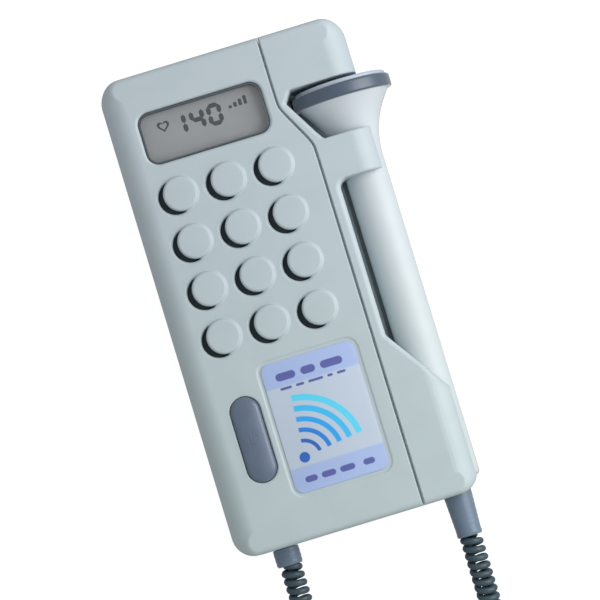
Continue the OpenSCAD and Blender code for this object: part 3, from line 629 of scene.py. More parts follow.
def in_hollow(x, y, side):
    """True inside the walls of the cover to the left (1) or to the right (-1) of the groove."""
    return (from_rim(x, y) > wall + hair / 2) & (side * from_seam(x, y) > inner_wall + hair / 2)


def screw_holes(z, x, y, screws):
    """The underside z with a boss at each screw, which reaches the parting plane, and the screw's hole in
    it."""
    for screw in screws:
        z = np.where(from_point(x, y, screw) < boss_r - hair / 2, split_z, z)
        z = np.where(from_point(x, y, screw) < screw_hole_r - hair / 2, screw_tip_z, z)
    return z


def shell_lines(side, screws):
    """Lines that both covers need: their outline, the inside of their walls, the edge of the groove on the
    given side, and the screws' bosses and holes."""
    groove_edge = [groove_half + step for step in rounding_steps(groove_edge_r, 4)]
    seam_steps = [half_gap, groove_half - hair, *groove_edge, inner_wall, inner_wall + hair]
    screw_r = (boss_r, boss_r - hair, screw_hole_r, screw_hole_r - hair)
    return (rim_loops() + rim_loops(wall) + rim_loops(wall + hair)[:1]
            + [seam_line(side * step) for step in seam_steps]
            + [arc(screw, r, 24) for screw in screws for r in screw_r])


def from_discs(x, y):
    """Distance outside the nearest louvre's disc, and outside the round slot that its crescent is part
    of."""
    column = np.clip(np.round((x - louvre_centre[0]) / louvre_pitch), -1, 1)
    row = np.clip(np.round((y - louvre_centre[1]) / louvre_pitch - 0.5), -2, 1) + 0.5
    over = x - louvre_centre[0] - column * louvre_pitch
    up = y - louvre_centre[1] - row * louvre_pitch
    off_slot = np.hypot(over + slot_shift * math.cos(slot_turn), up + slot_shift * math.sin(slot_turn))
    return np.hypot(over, up) - disc_r, off_slot - slot_r


def cover_top(x, y):
    """The face, less the groove, the label's recess and the rounded edges of the openings, plus the discs,
    which rise from it in a hollow rounding and end in a full one."""
    from_disc, from_slot = from_discs(x, y)
    z = groove(face_z(x, y), from_seam(x, y))
    z = z - drop(box_edge(x, y, window_centre, window_size, window_r), window_edge_r)
    z = z - drop(box_edge(x, y, button_centre, button_hole, button_hole[0] / 2), button_edge_r)
    z = z - label_depth * ease(0.5 - box_edge(x, y, label_centre, label_recess, label_recess_r) / label_slope)
    z = z - drop(np.maximum(from_slot, 0), slot_edge_r) * ease(from_disc / disc_foot_r)
    crown = disc_crown * np.clip(1 - (1 + from_disc / disc_r) ** 2, 0, 1)
    on_disc = disc_h - disc_crown - drop(-from_disc, disc_edge_r) + crown
    return z + np.where(from_disc < 0, on_disc, drop(from_disc, disc_foot_r))


def cover_under(x, y):
    """The inside of the front cover: its ceiling, or the parting plane under its walls and screw bosses,
    with the screw holes and the cut-outs in its two ends."""
    z = screw_holes(np.where(in_hollow(x, y, 1), ceiling_z(x, y), split_z), x, y, cover_screws)
    for centre, r, cut_z in ((wheel_centre, wheel_slot_r, wheel_slot_z), (thumb_centre, thumb_r, thumb_z)):
        z = np.where(from_point(x, y, centre) < r - hair / 2, np.maximum(z, cut_z), z)
    socket_arch = socket_z + np.sqrt(np.maximum(socket_hole_r ** 2 - (x - socket_x) ** 2, 0))
    boot_arch = case_boot_z + np.sqrt(np.maximum(boot_hole_r ** 2 - (x - case_boot_x) ** 2, 0))
    return np.maximum(z, np.where(y > 0, socket_arch, boot_arch))


def in_cover(x, y):
    """True on the front cover's own material."""
    from_disc, from_slot = from_discs(x, y)
    in_slot = (from_disc > 0) & (from_slot < 0)
    in_window = box_edge(x, y, window_centre, window_size, window_r) < 0
    in_button_hole = box_edge(x, y, button_centre, button_hole, button_hole[0] / 2) < 0
    inside = (from_rim(x, y) > 0) & (from_seam(x, y) > half_gap)
    return inside & ~in_slot & ~in_window & ~in_button_hole


def end_lines(x, r, y_end):
    """Lines across an end wall, over the round hole in it."""
    return [np.array([(x + r * math.cos(turn), y_end), (x + r * math.cos(turn), y_end * 0.96)])
            for turn in np.linspace(0, math.pi, 13)]


lines = shell_lines(1, cover_screws)
lines += [box_loop(window_centre, window_size, window_r, step) for step in rounding_steps(window_edge_r)]
lines += [box_loop(button_centre, button_hole, button_hole[0] / 2, step, 16)
          for step in rounding_steps(button_edge_r)]
lines += [box_loop(label_centre, label_recess, label_recess_r, step) for step in np.linspace(-0.4, 0.4, 7)]
disc_rings = [-0.75 * disc_r, -0.5 * disc_r, -0.3 * disc_r,
              *[-step for step in rounding_steps(disc_edge_r)[::-1]], *rounding_steps(disc_foot_r, 4)[1:]]
shift = slot_shift * np.array((math.cos(slot_turn), math.sin(slot_turn)))
for column in (-1, 0, 1):
    for row in (-1.5, -0.5, 0.5, 1.5):
        centre = np.array(louvre_centre) + louvre_pitch * np.array((column, row))
        lines += [arc(centre, disc_r + ring) for ring in disc_rings]
        lines += [arc(centre - shift, slot_r + step, 40, slot_turn + 1.2, slot_turn + 2 * math.pi - 1.2)
                  for step in rounding_steps(slot_edge_r, 3)]
lines += [arc(thumb_centre, r, 48, math.pi, 2 * math.pi) for r in (thumb_r, thumb_r - hair)]
lines += [arc(wheel_centre, r, 48, 0, math.pi) for r in (wheel_slot_r, wheel_slot_r - hair)]
lines += end_lines(socket_x, socket_hole_r, past_end) + end_lines(case_boot_x, boot_hole_r, -past_end)

cover = mesh_object("front_cover_shell", *pillar(lines, in_cover, cover_top, cover_under), case_finish)
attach(cover, "case")
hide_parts("front_cover")


# ------------------------ the holster cover
# The right-hand part of the case's front. The probe's head shows in the notch, a bridge holds its neck, the
# finger window leaves the handle free and a block covers the tail. Its free edges curl over the probe.

lip_x = 35.3
lip_edge_r = 0.6
thinnest_lip = 0.15
far = 60                              # beyond the case's right-hand side
head_block_y = 53
notch = [(14.4, 49.6), (20.4, 39.2), (21.9, 37), (far, 37), (far, head_block_y), (16.6, head_block_y)]
notch_corner_r = 1.0
notch_side_r, notch_end_r = 1.5, 0.5   # rounding of the edges that face sideways, and along the case
grip = [(22.3, 24.7), (22.3, -21.2), (36, -41), (far, -41), (far, 24.7)]
grip_corner_r = 2.6
grip_side_r, grip_end_r = 1.6, 0.8
facing_step = 0.4                     # distance over which it is measured how far an edge faces sideways
probe_x, probe_z = 30.5, 15
handle_r, bell_r = 6.2, 13.2
tail_y, bell_y, rim_y = -66, 28.5, 46.8
bell_power = 2.2
dock_gap = 0.4
tail_gap_y = tail_y - dock_gap
boot_way_r = 4.5
holster_screws = [(24.5, 63), (21.2, -52)]


def body_r(y):
    """Radius of the probe: a straight handle that flares into a bell."""
    return handle_r + (bell_r - handle_r) * np.clip((y - bell_y) / (rim_y - bell_y), 0, None) ** bell_power


def corner_centres(corners, r):
    """Centres of the round corners of a polygon that runs anticlockwise."""
    corners = np.array(corners, float)
    before = unit(corners - np.roll(corners, 1, 0)) @ ((0, 1), (-1, 0))
    after = unit(np.roll(corners, -1, 0) - corners) @ ((0, 1), (-1, 0))
    return corners + r * (before + after) / (1 + (before * after).sum(1, keepdims=True)), before, after


def polygon_loop(corners, r, out):
    """The line at a distance out from a polygon with round corners."""
    centres, before, after = corner_centres(corners, r)
    share = np.linspace(0, 1, 9)[None, :, None]
    ray = unit((1 - share) * before[:, None] + share * after[:, None])
    loop = (centres[:, None] - (r + out) * ray).reshape(-1, 2)
    return np.vstack([loop, loop[:1]])


def polygon_edge(x, y, corners, r):
    """Distance to the edge of a polygon with round corners, negative inside it: to the nearest side between
    the corners' centres, less their radius. A point is inside if a line to its right crosses an odd number
    of sides."""
    start = corner_centres(corners, r)[0]
    run = np.roll(start, -1, 0) - start + 1e-9
    point = np.stack([x, y], -1)[:, None]
    share = np.clip(((point - start) * run).sum(-1) / (run * run).sum(-1), 0, 1)
    gap = np.linalg.norm(point - start - share[..., None] * run, axis=-1).min(-1)
    over = (start[:, 1] > point[..., 1]) != (start[:, 1] + run[:, 1] > point[..., 1])
    right = point[..., 0] < start[:, 0] + (point[..., 1] - start[:, 1]) * run[:, 0] / run[:, 1]
    return np.where((over & right).sum(-1) % 2, -gap, gap) - r


def opening_edge(x, y, corners, corner_r, side_r, end_r):
    """How far the rounded edge of an opening brings the face down. Its radius goes from end_r to side_r with
    the square of how far the edge faces sideways."""
    steps = (-facing_step, 0, facing_step)
    before, edge, after = (polygon_edge(x + step, y, corners, corner_r) for step in steps)
    sideways = (after - before) / (2 * facing_step)
    return drop(edge, end_r + (side_r - end_r) * np.clip(sideways ** 2, 0, 1))


def opening_loops(corners, corner_r, side_r, end_r):
    """Lines round an opening, at even turns of its rounded edge."""
    loop = polygon_loop(corners, corner_r, 0)
    away = polygon_loop(corners, corner_r, 1) - loop
    radius = end_r + (side_r - end_r) * away[:, :1] ** 2
    insets = [radius * (1 - math.cos(turn)) for turn in np.linspace(0, math.pi / 2, 8)]
    return [loop + away * inset for inset in insets + [radius + 0.2]]


def holster_top(x, y):
    """The face, less the groove and the rounded edges of the notch, the finger window and the lips, and
    never closer to the underside than the thinnest lip."""
    z = groove(face_z(x, y), -from_seam(x, y))
    z = z - opening_edge(x, y, notch, notch_corner_r, notch_side_r, notch_end_r)
    z = z - opening_edge(x, y, grip, grip_corner_r, grip_side_r, grip_end_r)
    z = z - np.where(y < head_block_y - hair, drop(lip_x - x, lip_edge_r), 0)
    return np.maximum(z, holster_under(x, y) + thinnest_lip)


def holster_under(x, y):
    """The parting plane, raised over the docked probe and its boot and hollow above the probe's head. The
    dock is half round to the left of the probe's axis and goes straight out to the right of it."""
    z = np.where(in_hollow(x, y, -1) & (y > head_block_y + wall), ceiling_z(x, y), split_z)
    dock = (probe_x, body_r(y) + dock_gap, (y > tail_gap_y) & (y < rim_y))
    boot_way = (probe_boot_x, boot_way_r, y <= tail_gap_y)
    for axis_x, r, reached in (dock, boot_way):
        left = np.maximum(axis_x - x, 0)
        arch = probe_z + np.sqrt(np.maximum(r ** 2 - left ** 2, 0))
        z = np.where(reached & (left < r - hair / 2), arch, z)
    return screw_holes(z, x, y, holster_screws)


def in_holster(x, y):
    """True on the holster cover's own material."""
    inside = (from_rim(x, y) > 0) & (from_seam(x, y) < -half_gap) & ((x < lip_x) | (y > head_block_y))
    outside_notch = polygon_edge(x, y, notch, notch_corner_r) > 0
    return inside & outside_notch & (polygon_edge(x, y, grip, grip_corner_r) > 0)


lines = shell_lines(-1, holster_screws)
lines += opening_loops(notch, notch_corner_r, notch_side_r, notch_end_r)
lines += opening_loops(grip, grip_corner_r, grip_side_r, grip_end_r)
lines += [stack(lip_x - step, (-past_end, head_block_y)) for step in rounding_steps(lip_edge_r, 4)]
dock_y = np.concatenate([[tail_gap_y], np.linspace(bell_y, rim_y, 19)])
dock = (probe_x, body_r(dock_y) + dock_gap, dock_y)
boot_way = (probe_boot_x, boot_way_r, (-past_end, tail_gap_y))
for axis_x, r, y in (dock, boot_way):
    reaches = [r, r - hair, *[r * math.cos(turn) for turn in np.linspace(0, math.pi / 2, 10)[1:]]]
    lines += [stack(axis_x - reach, y) for reach in reaches]
lines += [stack((18, past_side), y) for y in (tail_gap_y, tail_gap_y + hair)]
lines += [stack((11, past_side), y) for y in (head_block_y + wall, head_block_y + wall + hair)]

solid = pillar(lines, in_holster, holster_top, holster_under)
holster = mesh_object("holster_cover_shell", *solid, case_finish)
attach(holster, "case")
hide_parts("holster_cover")


# ------------------------ the display
# A clear pane that is printed dark along its edge, over a liquid crystal cell on a grey polariser. The cell
# shows a pulse rate with a heart and a level meter.

pane_edge_z = 24.7
pane_z = 26.3
pane_flange_z = 23.9
pane_flange = 1.2
pane_print = 0.6                      # width of the dark print
lcd_z = 23.8
mark_mm = 0.04                        # thickness of the marks on the cell
digit_size = (4.3, 6.5)
digit_stroke = 0.65                   # half of a segment's width
segment_gap = 0.02
digit_y = 52.9
digits = {-5.65: "abcdef", -10.75: "bcfg", -16.1: "bc"}
heart_at, heart_mm, heart_inner = (-20.6, 53.9), 0.112, 0.6
level_at, level_step = (-0.9, 53.2), 1.5


def loft(loops, heights):
    """A closed solid through loops of points in the plan, each at its own height."""
    rings = np.stack([stack(*loop[:-1].T, z) for loop, z in zip(loops, heights)])
    return rings.reshape(-1, 3), capped_grid(*rings.shape[:2])


def stepped(centre, size, r, steps):
    """A closed solid whose outline, a rectangle with round corners, steps out and up as listed."""
    return loft([box_loop(centre, size, r, out) for out, _ in steps], [z for _, z in steps])


def joined(solids):
    """Several solids, each given by its points and faces, as one."""
    points, faces, count = [], [], 0
    for solid_points, solid_faces in solids:
        points.append(solid_points)
        faces += [[corner + count for corner in face] for face in solid_faces]
        count += len(solid_points)
    return np.vstack(points), faces


def segment(start, end):
    """Outline of one segment of a digit: a bar with pointed ends, a little short of the two corners it
    joins."""
    start, end = np.array(start, float), np.array(end, float)
    along = unit(end - start)
    side = np.array([-along[1], along[0]]) * digit_stroke
    first, last = start + along * segment_gap, end - along * segment_gap
    point = along * digit_stroke
    return np.array([first, first + point - side, last - point - side, last, last - point + side,
                     first + point + side, first])


def digit(x, lit):
    """The lit segments of a digit on its middle x, named from a at the top clockwise to f, and g in the
    middle."""
    right, top = digit_size[0] / 2 - digit_stroke, digit_size[1] / 2 - digit_stroke
    corners = {"a": ((-right, top), (right, top)), "b": ((right, top), (right, 0)),
               "c": ((right, 0), (right, -top)), "d": ((right, -top), (-right, -top)),
               "e": ((-right, -top), (-right, 0)), "f": ((-right, 0), (-right, top)),
               "g": ((-right, 0), (right, 0))}
    return [segment(*corners[name]) + (x, digit_y) for name in lit]


def heart(size):
    """A heart from the usual curve of sine cubed and four cosines."""
    t = np.linspace(2 * math.pi, 0, 49)
    x = 16 * np.sin(t) ** 3
    y = 13 * np.cos(t) - 5 * np.cos(2 * t) - 2 * np.cos(3 * t) - np.cos(4 * t)
    return np.stack([x, y], -1)[::-1] * size + heart_at


def plate(outline, inner=None):
    """A mark as thick as the print, round an inner outline if there is one."""
    low, high = lcd_z, lcd_z + mark_mm
    if inner is None:
        return loft([outline] * 2, (low, high))
    section = (outline, low), (outline, high), (inner, high), (inner, low)
    rings = np.stack([stack(*loop[:-1].T, z) for loop, z in section])
    return rings.reshape(-1, 3), grid_faces(*rings.shape[:2], True, True).tolist()


pane_finish = Finish("display_pane", roughness=0.3)
x, y, z = pane_finish.place()
beyond_x = (abs(x - window_centre[0]) - (window_size[0] / 2 - window_r)).most(0)
beyond_y = (abs(y - window_centre[1]) - (window_size[1] / 2 - window_r)).most(0)
to_edge = window_r - (beyond_x ** 2 + beyond_y ** 2) ** 0.5
printed = to_edge.step(pane_print + 0.08, pane_print - 0.08)
speck = pane_finish.noise(0.7, 2)
pane_finish.paint(Base_Color=pane_finish.mix(speck, srgb(74, 84, 90), srgb(84, 94, 99)))
clear = pane_finish.node("ShaderNodeBsdfTransparent")
gloss = pane_finish.node("ShaderNodeBsdfGlossy", inputs={"Roughness": 0.06 + 0.05 * pane_finish.noise(6)})
glass = pane_finish.node("ShaderNodeMixShader", inputs={0: 0.045, 1: clear, 2: gloss})
print_shader = Field(pane_finish.tree, pane_finish.shader.outputs[0])
seen = pane_finish.node("ShaderNodeMixShader", inputs={0: printed, 1: glass, 2: print_shader})
pane_finish.tree.links.new(seen.socket, pane_finish.output.inputs[0])

steps = [(pane_flange - 0.15, pane_flange_z), (pane_flange, pane_flange_z + 0.15),
         (pane_flange, pane_edge_z - 0.15), (pane_flange - 0.15, pane_edge_z), (-0.1, pane_edge_z),
         (-0.1, pane_z - 0.25), (-0.17, pane_z - 0.07), (-0.35, pane_z)]
pane = mesh_object("display_pane", *stepped(window_centre, window_size, window_r, steps), pane_finish)
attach(pane, "case")
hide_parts("lcd_window")

polariser = Finish("polariser", roughness=0.42)
cloudy = polariser.noise(7)
pixels = polariser.noise(0.12, 1)
polariser.paint(Base_Color=polariser.mix(cloudy, srgb(142, 145, 147), srgb(152, 154, 156)),
                Roughness=0.36 + 0.16 * pixels)
polariser.bump(pixels, 0.01, 0.3)

marks_finish = Finish("crystal_marks", roughness=0.45)
marks_finish.paint(Base_Color=marks_finish.mix(marks_finish.noise(0.4), srgb(44, 49, 52), srgb(56, 60, 62)))
bars = [box_loop((level_at[0] + i * level_step, level_at[1] + 0.4 + 0.28 * i), (0.95, 0.8 + 0.55 * i), 0.15,
                 steps=2) for i in range(4)]
outlines = [outline for x, lit in digits.items() for outline in digit(x, lit)] + bars
plates = [plate(outline) for outline in outlines] + [plate(heart(heart_mm), heart(heart_mm * heart_inner))]
marks = mesh_object("display_marks", *joined(plates), marks_finish)
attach(marks, "case")


# ------------------------ the power button
# A slate-blue oval key with a satin, crowned top, held by a flange under the cover. A power sign is moulded
# in its middle.

button_size = (8.4, 24.6)
button_top_z = 28.2
button_base_z = 23.4
button_crown = 0.9
button_edge = 0.9
button_flange, button_flange_z = 1.2, 24.5
sign_r, sign_stroke, sign_depth = 1.35, 0.17, 0.08


def in_button(x, y, out=0.0):
    """Distance inside the button's outline."""
    return out - box_edge(x, y, button_centre, button_size, button_size[0] / 2)


def button_top(x, y):
    """A circular arc across the button, rounded off at its edge, with the flange round it."""
    half = button_size[0] / 2
    crown_r = (half ** 2 + button_crown ** 2) / (2 * button_crown)
    inside = in_button(x, y)
    off_axis = half - np.clip(inside, 0, half)
    crowned = button_top_z - crown_r + np.sqrt(crown_r ** 2 - off_axis ** 2) - drop(inside, button_edge)
    return np.where(inside > -hair / 2, crowned, button_flange_z)


def rubber_finish(name, light, dark, roughness, grain_mm=0.3, sheen=0.0, gloss=0.4):
    """Rubber or soft plastic: cloudy in colour and gloss, with a fine grain, and paler where it is seen edge
    on."""
    finish = Finish(name, Specular_IOR_Level=gloss, Sheen_Weight=sheen, Sheen_Roughness=0.4)
    cloud = finish.noise(5, 3)
    grain = finish.noise(grain_mm, 2)
    finish.paint(Base_Color=finish.mix(cloud, dark, light), Roughness=roughness + 0.14 * cloud)
    return finish.bump(grain, 0.02, 0.4)


button_finish = rubber_finish("button_satin", srgb(92, 108, 129), srgb(80, 95, 115), 0.3,
                              sheen=0.6, gloss=0.7)
x, y, z = button_finish.place()
off_x, off_y = x - button_centre[0], y - button_centre[1]
sign_gap = (off_x ** 2 + off_y ** 2) ** 0.5
ring = abs(sign_gap - sign_r).step(sign_stroke, sign_stroke - 0.09)
ring = ring * (off_y - abs(off_x) * 1.5).step(0.12, 0)
bar = abs(off_x).step(sign_stroke, sign_stroke - 0.09) * abs(off_y - sign_r).step(0.95, 0.85)
button_finish.bump(1 - ring.most(bar), sign_depth)

insets = [*rounding_steps(button_edge), *np.linspace(1.2, 4.1, 6)]
loops = [box_loop(button_centre, button_size, button_size[0] / 2, -inset, 16) for inset in [-hair] + insets]
loops.append(box_loop(button_centre, button_size, button_size[0] / 2, button_flange, 16))
button = mesh_object("power_key", *pillar(loops, lambda x, y: in_button(x, y, button_flange) > 0, button_top,
                                          lambda x, y: x * 0 + button_base_z), button_finish)
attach(button, "power_button")
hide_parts("power_button")


# ------------------------ the label
# A printed foil in the recess, with a plain pattern: arcs that spread from a dot, like sound, and rows of
# bars above and below them.

label_size = (27.3, 37.5)
label_r = 2.4
label_low_z, label_top_z = 26.7, 26.95
dot_at, dot_r = (-8.6, -9.2), 1.5
arc_turn, arc_half = math.radians(47), math.radians(38)
arc_first, arc_pitch = 4.7, 3.05
arc_colours = [(34, 96, 186), (26, 126, 214), (34, 160, 232), (52, 184, 236), (84, 206, 236)]
band_y = 11.6                         # where the paler band behind each outer row of bars ends
wide_rows = [(14.3, 1.25, [(-10.2, -4.2), (-2.9, 1.6), (2.9, 9.6)]),
             (-15.4, 1.0, [(-10.4, -6.6), (-5.6, -1.2), (-0.2, 4.4), (6.6, 10.2)])]
thin_row = (10.9, 0.5, [(-9.8, -6.2), (-5.2, -2.6), (-1.6, 3.0), (4.0, 5.8), (6.8, 9.6)])

label_finish = Finish("label_foil", roughness=0.35, Coat_Weight=0.25, Coat_Roughness=0.2)
x, y, z = label_finish.place()
u, v = x - label_centre[0], y - label_centre[1]
tint = label_finish.noise(11, 2)
colour = label_finish.mix(tint, srgb(178, 192, 208), srgb(189, 200, 215))
colour = label_finish.mix(abs(v).step(band_y - 0.4, band_y + 0.4), colour, srgb(162, 181, 222))
from_dot = ((u - dot_at[0]) ** 2 + (v - dot_at[1]) ** 2) ** 0.5
facing = ((u - dot_at[0]) * math.cos(arc_turn) + (v - dot_at[1]) * math.sin(arc_turn)) / from_dot.most(0.1)
in_fan = facing.step(math.cos(arc_half + 0.04), math.cos(arc_half))
for ring, shade in enumerate(arc_colours):
    width = 0.55 + 0.09 * ring
    inked = abs(from_dot - arc_first - arc_pitch * ring).step(width + 0.12, width - 0.12) * in_fan
    colour = label_finish.mix(inked, colour, srgb(*shade))
colour = label_finish.mix(from_dot.step(dot_r + 0.12, dot_r - 0.12), colour, srgb(*arc_colours[0]))
for row_y, half, bars in wide_rows + [thin_row]:
    for left, right in bars:
        past_end = (abs(u - (left + right) / 2) - (right - left) / 2 + half).most(0)
        off = (past_end ** 2 + (v - row_y) ** 2) ** 0.5
        colour = label_finish.mix(off.step(half, half - 0.25), colour, srgb(86, 92, 158))
label_finish.paint(Base_Color=colour, Roughness=0.30 + 0.12 * label_finish.noise(0.5))
label_finish.bump(label_finish.noise(1.4), 0.01, 0.3)

steps = [(-0.06, label_low_z), (0, label_low_z + 0.05), (0, label_top_z - 0.08), (-0.03, label_top_z - 0.02),
         (-0.1, label_top_z)]
label = mesh_object("front_label", *stepped(label_centre, label_size, label_r, steps), label_finish)
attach(label, "case")
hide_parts("label_plate")


# ------------------------ the probe
# Two half shells of glossy white ABS that meet in a fine seam, a slate-blue rubber rim, and a shallow dome
# of pale rubber over the two crystals.

head_r = 14.4
rim_mm = 4
face_rise = 1.7
shell_mm = 1.7
tail_r = 1.4                          # rounding of the handle's end
rim_inner_r, plug_r = 12.4, 12.35     # the hole in the rim, and the part of the face that fills it
seam_mm = 0.02
seam_bevel = 0.14


def welded(points, faces):
    """The same solid with the points that lie in one place made one, and without the faces that this
    flattens."""
    _, first, name = np.unique(points.round(5), axis=0, return_index=True, return_inverse=True)
    name = name.reshape(-1)
    kept = []
    for face in faces:
        corners = [name[corner] for corner in face]
        corners = [corner for i, corner in enumerate(corners) if corner != corners[i - 1]]
        if len(corners) > 2:
            kept.append(corners)
    return points[first], kept


def turned(profile, x, z, steps=72):
    """A closed profile of radius and place along Y, turned once round the line through x and z along Y."""
    angle = np.linspace(0, 2 * math.pi, steps, endpoint=False)[:, None]
    radius, place = np.array(profile, float).T
    rings = stack(x + radius * np.cos(angle), place + 0 * angle, z + radius * np.sin(angle))
    return welded(rings.reshape(-1, 3), grid_faces(steps, len(profile), True, True).tolist())


def round_corner(centre, r, start_deg, end_deg, steps=6):
    """Points of a rounded corner of a profile."""
    angle = np.radians(np.linspace(start_deg, end_deg, steps + 1))
    return list(zip(centre[0] + r * np.cos(angle), centre[1] + r * np.sin(angle)))


def half_shell(side):
    """One half of the probe's shell, above or below the seam. The outer edge along the seam is bevelled."""
    outer_y = np.concatenate([[tail_y + tail_r + 1], np.linspace(tail_y + 6, bell_y - 2, 24),
                              np.linspace(bell_y, rim_y, 36)])
    outer = list(zip(body_r(outer_y), outer_y))
    inner = [(max(r - shell_mm, 0), y) for r, y in outer[::-1]]
    tail = round_corner((handle_r - tail_r, tail_y + tail_r), tail_r, -90, 0)
    floor_y = tail_y + 2
    profile = np.array([(0, tail_y)] + tail + outer + inner + [(handle_r - shell_mm, floor_y), (0, floor_y)])
    on_outside = np.arange(len(profile)) <= len(tail) + len(outer)
    angle = np.concatenate([[0, 0.018, 0.04], np.linspace(0.09, math.pi - 0.09, 60),
                            [math.pi - 0.04, math.pi - 0.018, math.pi]])[:, None]
    from_seam_mm = np.minimum(angle, math.pi - angle) * handle_r
    bevel = seam_bevel * np.clip(1 - from_seam_mm / seam_bevel, 0, 1)
    radius = profile[:, 0] - bevel * on_outside * np.clip(profile[:, 0], 0, 1)
    up = side * (radius * np.sin(angle) + seam_mm)
    rings = stack(probe_x + radius * np.cos(angle), profile[:, 1] + 0 * angle, probe_z + up)
    faces = capped_grid(*rings.shape[:2])
    if side < 0:
        faces = [face[::-1] for face in faces]
    return welded(rings.reshape(-1, 3), faces)


probe_finish = casing_finish("probe_abs", srgb(196, 203, 206)[:3], srgb(188, 195, 199))
for side, half in ((1, "front"), (-1, "back")):
    shell = mesh_object("probe_half_" + half, *half_shell(side), probe_finish)
    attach(shell, "probe")
    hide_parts("probe_shell_" + half)

rim_end = rim_y + rim_mm
rim_edge = 0.8
profile = [(rim_inner_r, rim_y + 0.02), (head_r - rim_edge, rim_y + 0.02)]
profile += round_corner((head_r - rim_edge, rim_y + 0.02 + rim_edge), rim_edge, -90, 0)[1:]
profile += round_corner((head_r - rim_edge, rim_end - rim_edge), rim_edge, 0, 90)
profile += [(13.4, rim_end), (13.25, rim_end - 0.12), (rim_inner_r, rim_end - 0.12)]
rim_finish = rubber_finish("rim_rubber", srgb(68, 83, 102), srgb(60, 74, 92), 0.32, sheen=0.8, gloss=0.7)
rim = mesh_object("probe_head_rim", *turned(profile[::-1], probe_x, probe_z, 128), rim_finish)
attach(rim, "probe")
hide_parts("probe_rim")

face_r = head_r - 1
face_side = 1.0                       # straight part of the face's edge
face_edge_r = 0.5
dome_rise = face_rise - face_side
dome_r = (face_r ** 2 + dome_rise ** 2) / (2 * dome_rise)
r = np.linspace(face_r, 0, 24)
dome = list(zip(r, rim_end + face_rise - dome_r + np.sqrt(dome_r ** 2 - r ** 2)))
edge = round_corner((face_r - face_edge_r, rim_end + face_side - face_edge_r + 0.03), face_edge_r, 0, 84)
profile = [(0, rim_y + 0.6), (plug_r, rim_y + 0.6), (plug_r, rim_end - 0.1), (face_r, rim_end - 0.1)] + edge
profile += [point for point in dome if point[0] < face_r - face_edge_r]
face_finish = rubber_finish("face_rubber", srgb(176, 188, 202), srgb(166, 178, 194), 0.3)
face = mesh_object("probe_dome", *turned(profile[::-1], probe_x, probe_z, 128), face_finish)
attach(face, "probe")
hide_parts("probe_face")


# ------------------------ the boots
# Soft PVC sleeves with a flared cup at the end for the first curl, a bead round the mouth and fine ribs for
# grip. Each is held in its wall by a neck.

case_boot_r, probe_boot_r = 3.8, 4.1
boot_tip_r = 3.55
boot_bead = 0.12
rib_pitch, rib_mm = 1.55, 0.06
cup_r, cup_floor_r = 3.15, 1.3
case_wall_y, case_boot_end_y = -70.0, -75.2
probe_boot_end_y = -82.0


def boot_profile(start_y, end_y, start_r, straight, flange):
    """Profile of a boot from the flange inside the wall, over its neck and sleeve, to its cup and back."""
    (flange_r, flange_start), (neck_r, neck_start) = flange
    y = np.linspace(start_y - 0.35, end_y + 0.4, 33)
    share = np.clip((start_y - straight - y) / (start_y - straight - end_y), 0, 1)
    sleeve_r = start_r + (boot_tip_r - start_r) * share
    rib = rib_mm * (0.5 - 0.5 * np.cos((start_y - y) * 2 * math.pi / rib_pitch)) * (y > end_y + 1.4)
    bead = boot_bead * np.exp(-((y - end_y - 0.75) / 0.4) ** 2)
    sleeve = list(zip(sleeve_r - rib + bead, y))
    held = [(0, flange_start), (flange_r, flange_start), (flange_r, neck_start), (neck_r, neck_start),
            (neck_r, start_y - 0.05), (start_r - 0.35, start_y - 0.05)]
    cup = [(boot_tip_r - 0.12, end_y), (cup_r, end_y), (cup_r - 0.9, end_y + 1.2),
           (cup_floor_r, end_y + cup_mm - 1.2), (cup_floor_r, end_y + cup_mm), (0, end_y + cup_mm)]
    return held + sleeve + cup


boot_finish = rubber_finish("boot_pvc", srgb(112, 129, 147), srgb(96, 112, 131), 0.3, sheen=0.4)
profile = boot_profile(case_wall_y, case_boot_end_y, case_boot_r, 3.2,
                       ((4.4, case_wall_y + wall + 1.5), (2.85, case_wall_y + wall + 0.05)))
case_boot = mesh_object("case_sleeve", *turned(profile, case_boot_x, case_boot_z), boot_finish)
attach(case_boot, "case")
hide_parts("case_boot")

profile = boot_profile(tail_y, probe_boot_end_y, probe_boot_r, 4,
                       ((2.7, tail_y + 3.3), (2.15, tail_y + 2.05)))
probe_boot = mesh_object("probe_sleeve", *turned(profile, probe_boot_x, probe_boot_z), boot_finish)
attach(probe_boot, "probe")
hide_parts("probe_boot")


# ------------------------ metal pieces
# Bright zinc on the screws, a drawn steel spring and pin, the tinned can of the switch and the pressed
# basket of the loudspeaker.

def metal_finish(name, tone, roughness, along=(1, 1, 1)):
    """Plated steel: fine streaks of brighter and duller metal, and small stains."""
    finish = Finish(name, Metallic=0.9)
    vector = finish.node("ShaderNodeTexCoord", output="Object")
    stretched = finish.node("ShaderNodeVectorMath", {"operation": "MULTIPLY"}, {0: vector, 1: along})
    streak = finish.noise(0.25, 2, stretched)
    stain = finish.noise(2.5, 3)
    dull = srgb(*[0.8 * level for level in tone])
    finish.paint(Base_Color=finish.mix(stain.step(0.4, 0.8), srgb(*tone), dull),
                 Roughness=roughness + 0.15 * streak + 0.1 * stain)
    return finish.bump(streak, 0.008, 0.3)


def dress(finish, *nodes):
    """Gives nodes of the frame, whose own shape stays, a finish in all their material slots."""
    for node in nodes:
        made = frame["nodes"][node]
        for place in range(len(made.material_slots)):
            made.material_slots[place].material = finish.material


spring_turns, spring_r, spring_mm, spring_pitch, spring_leg = 5, 1.75, 0.5, 0.96, 2.6
pin_y, pin_z = 58, 3.0

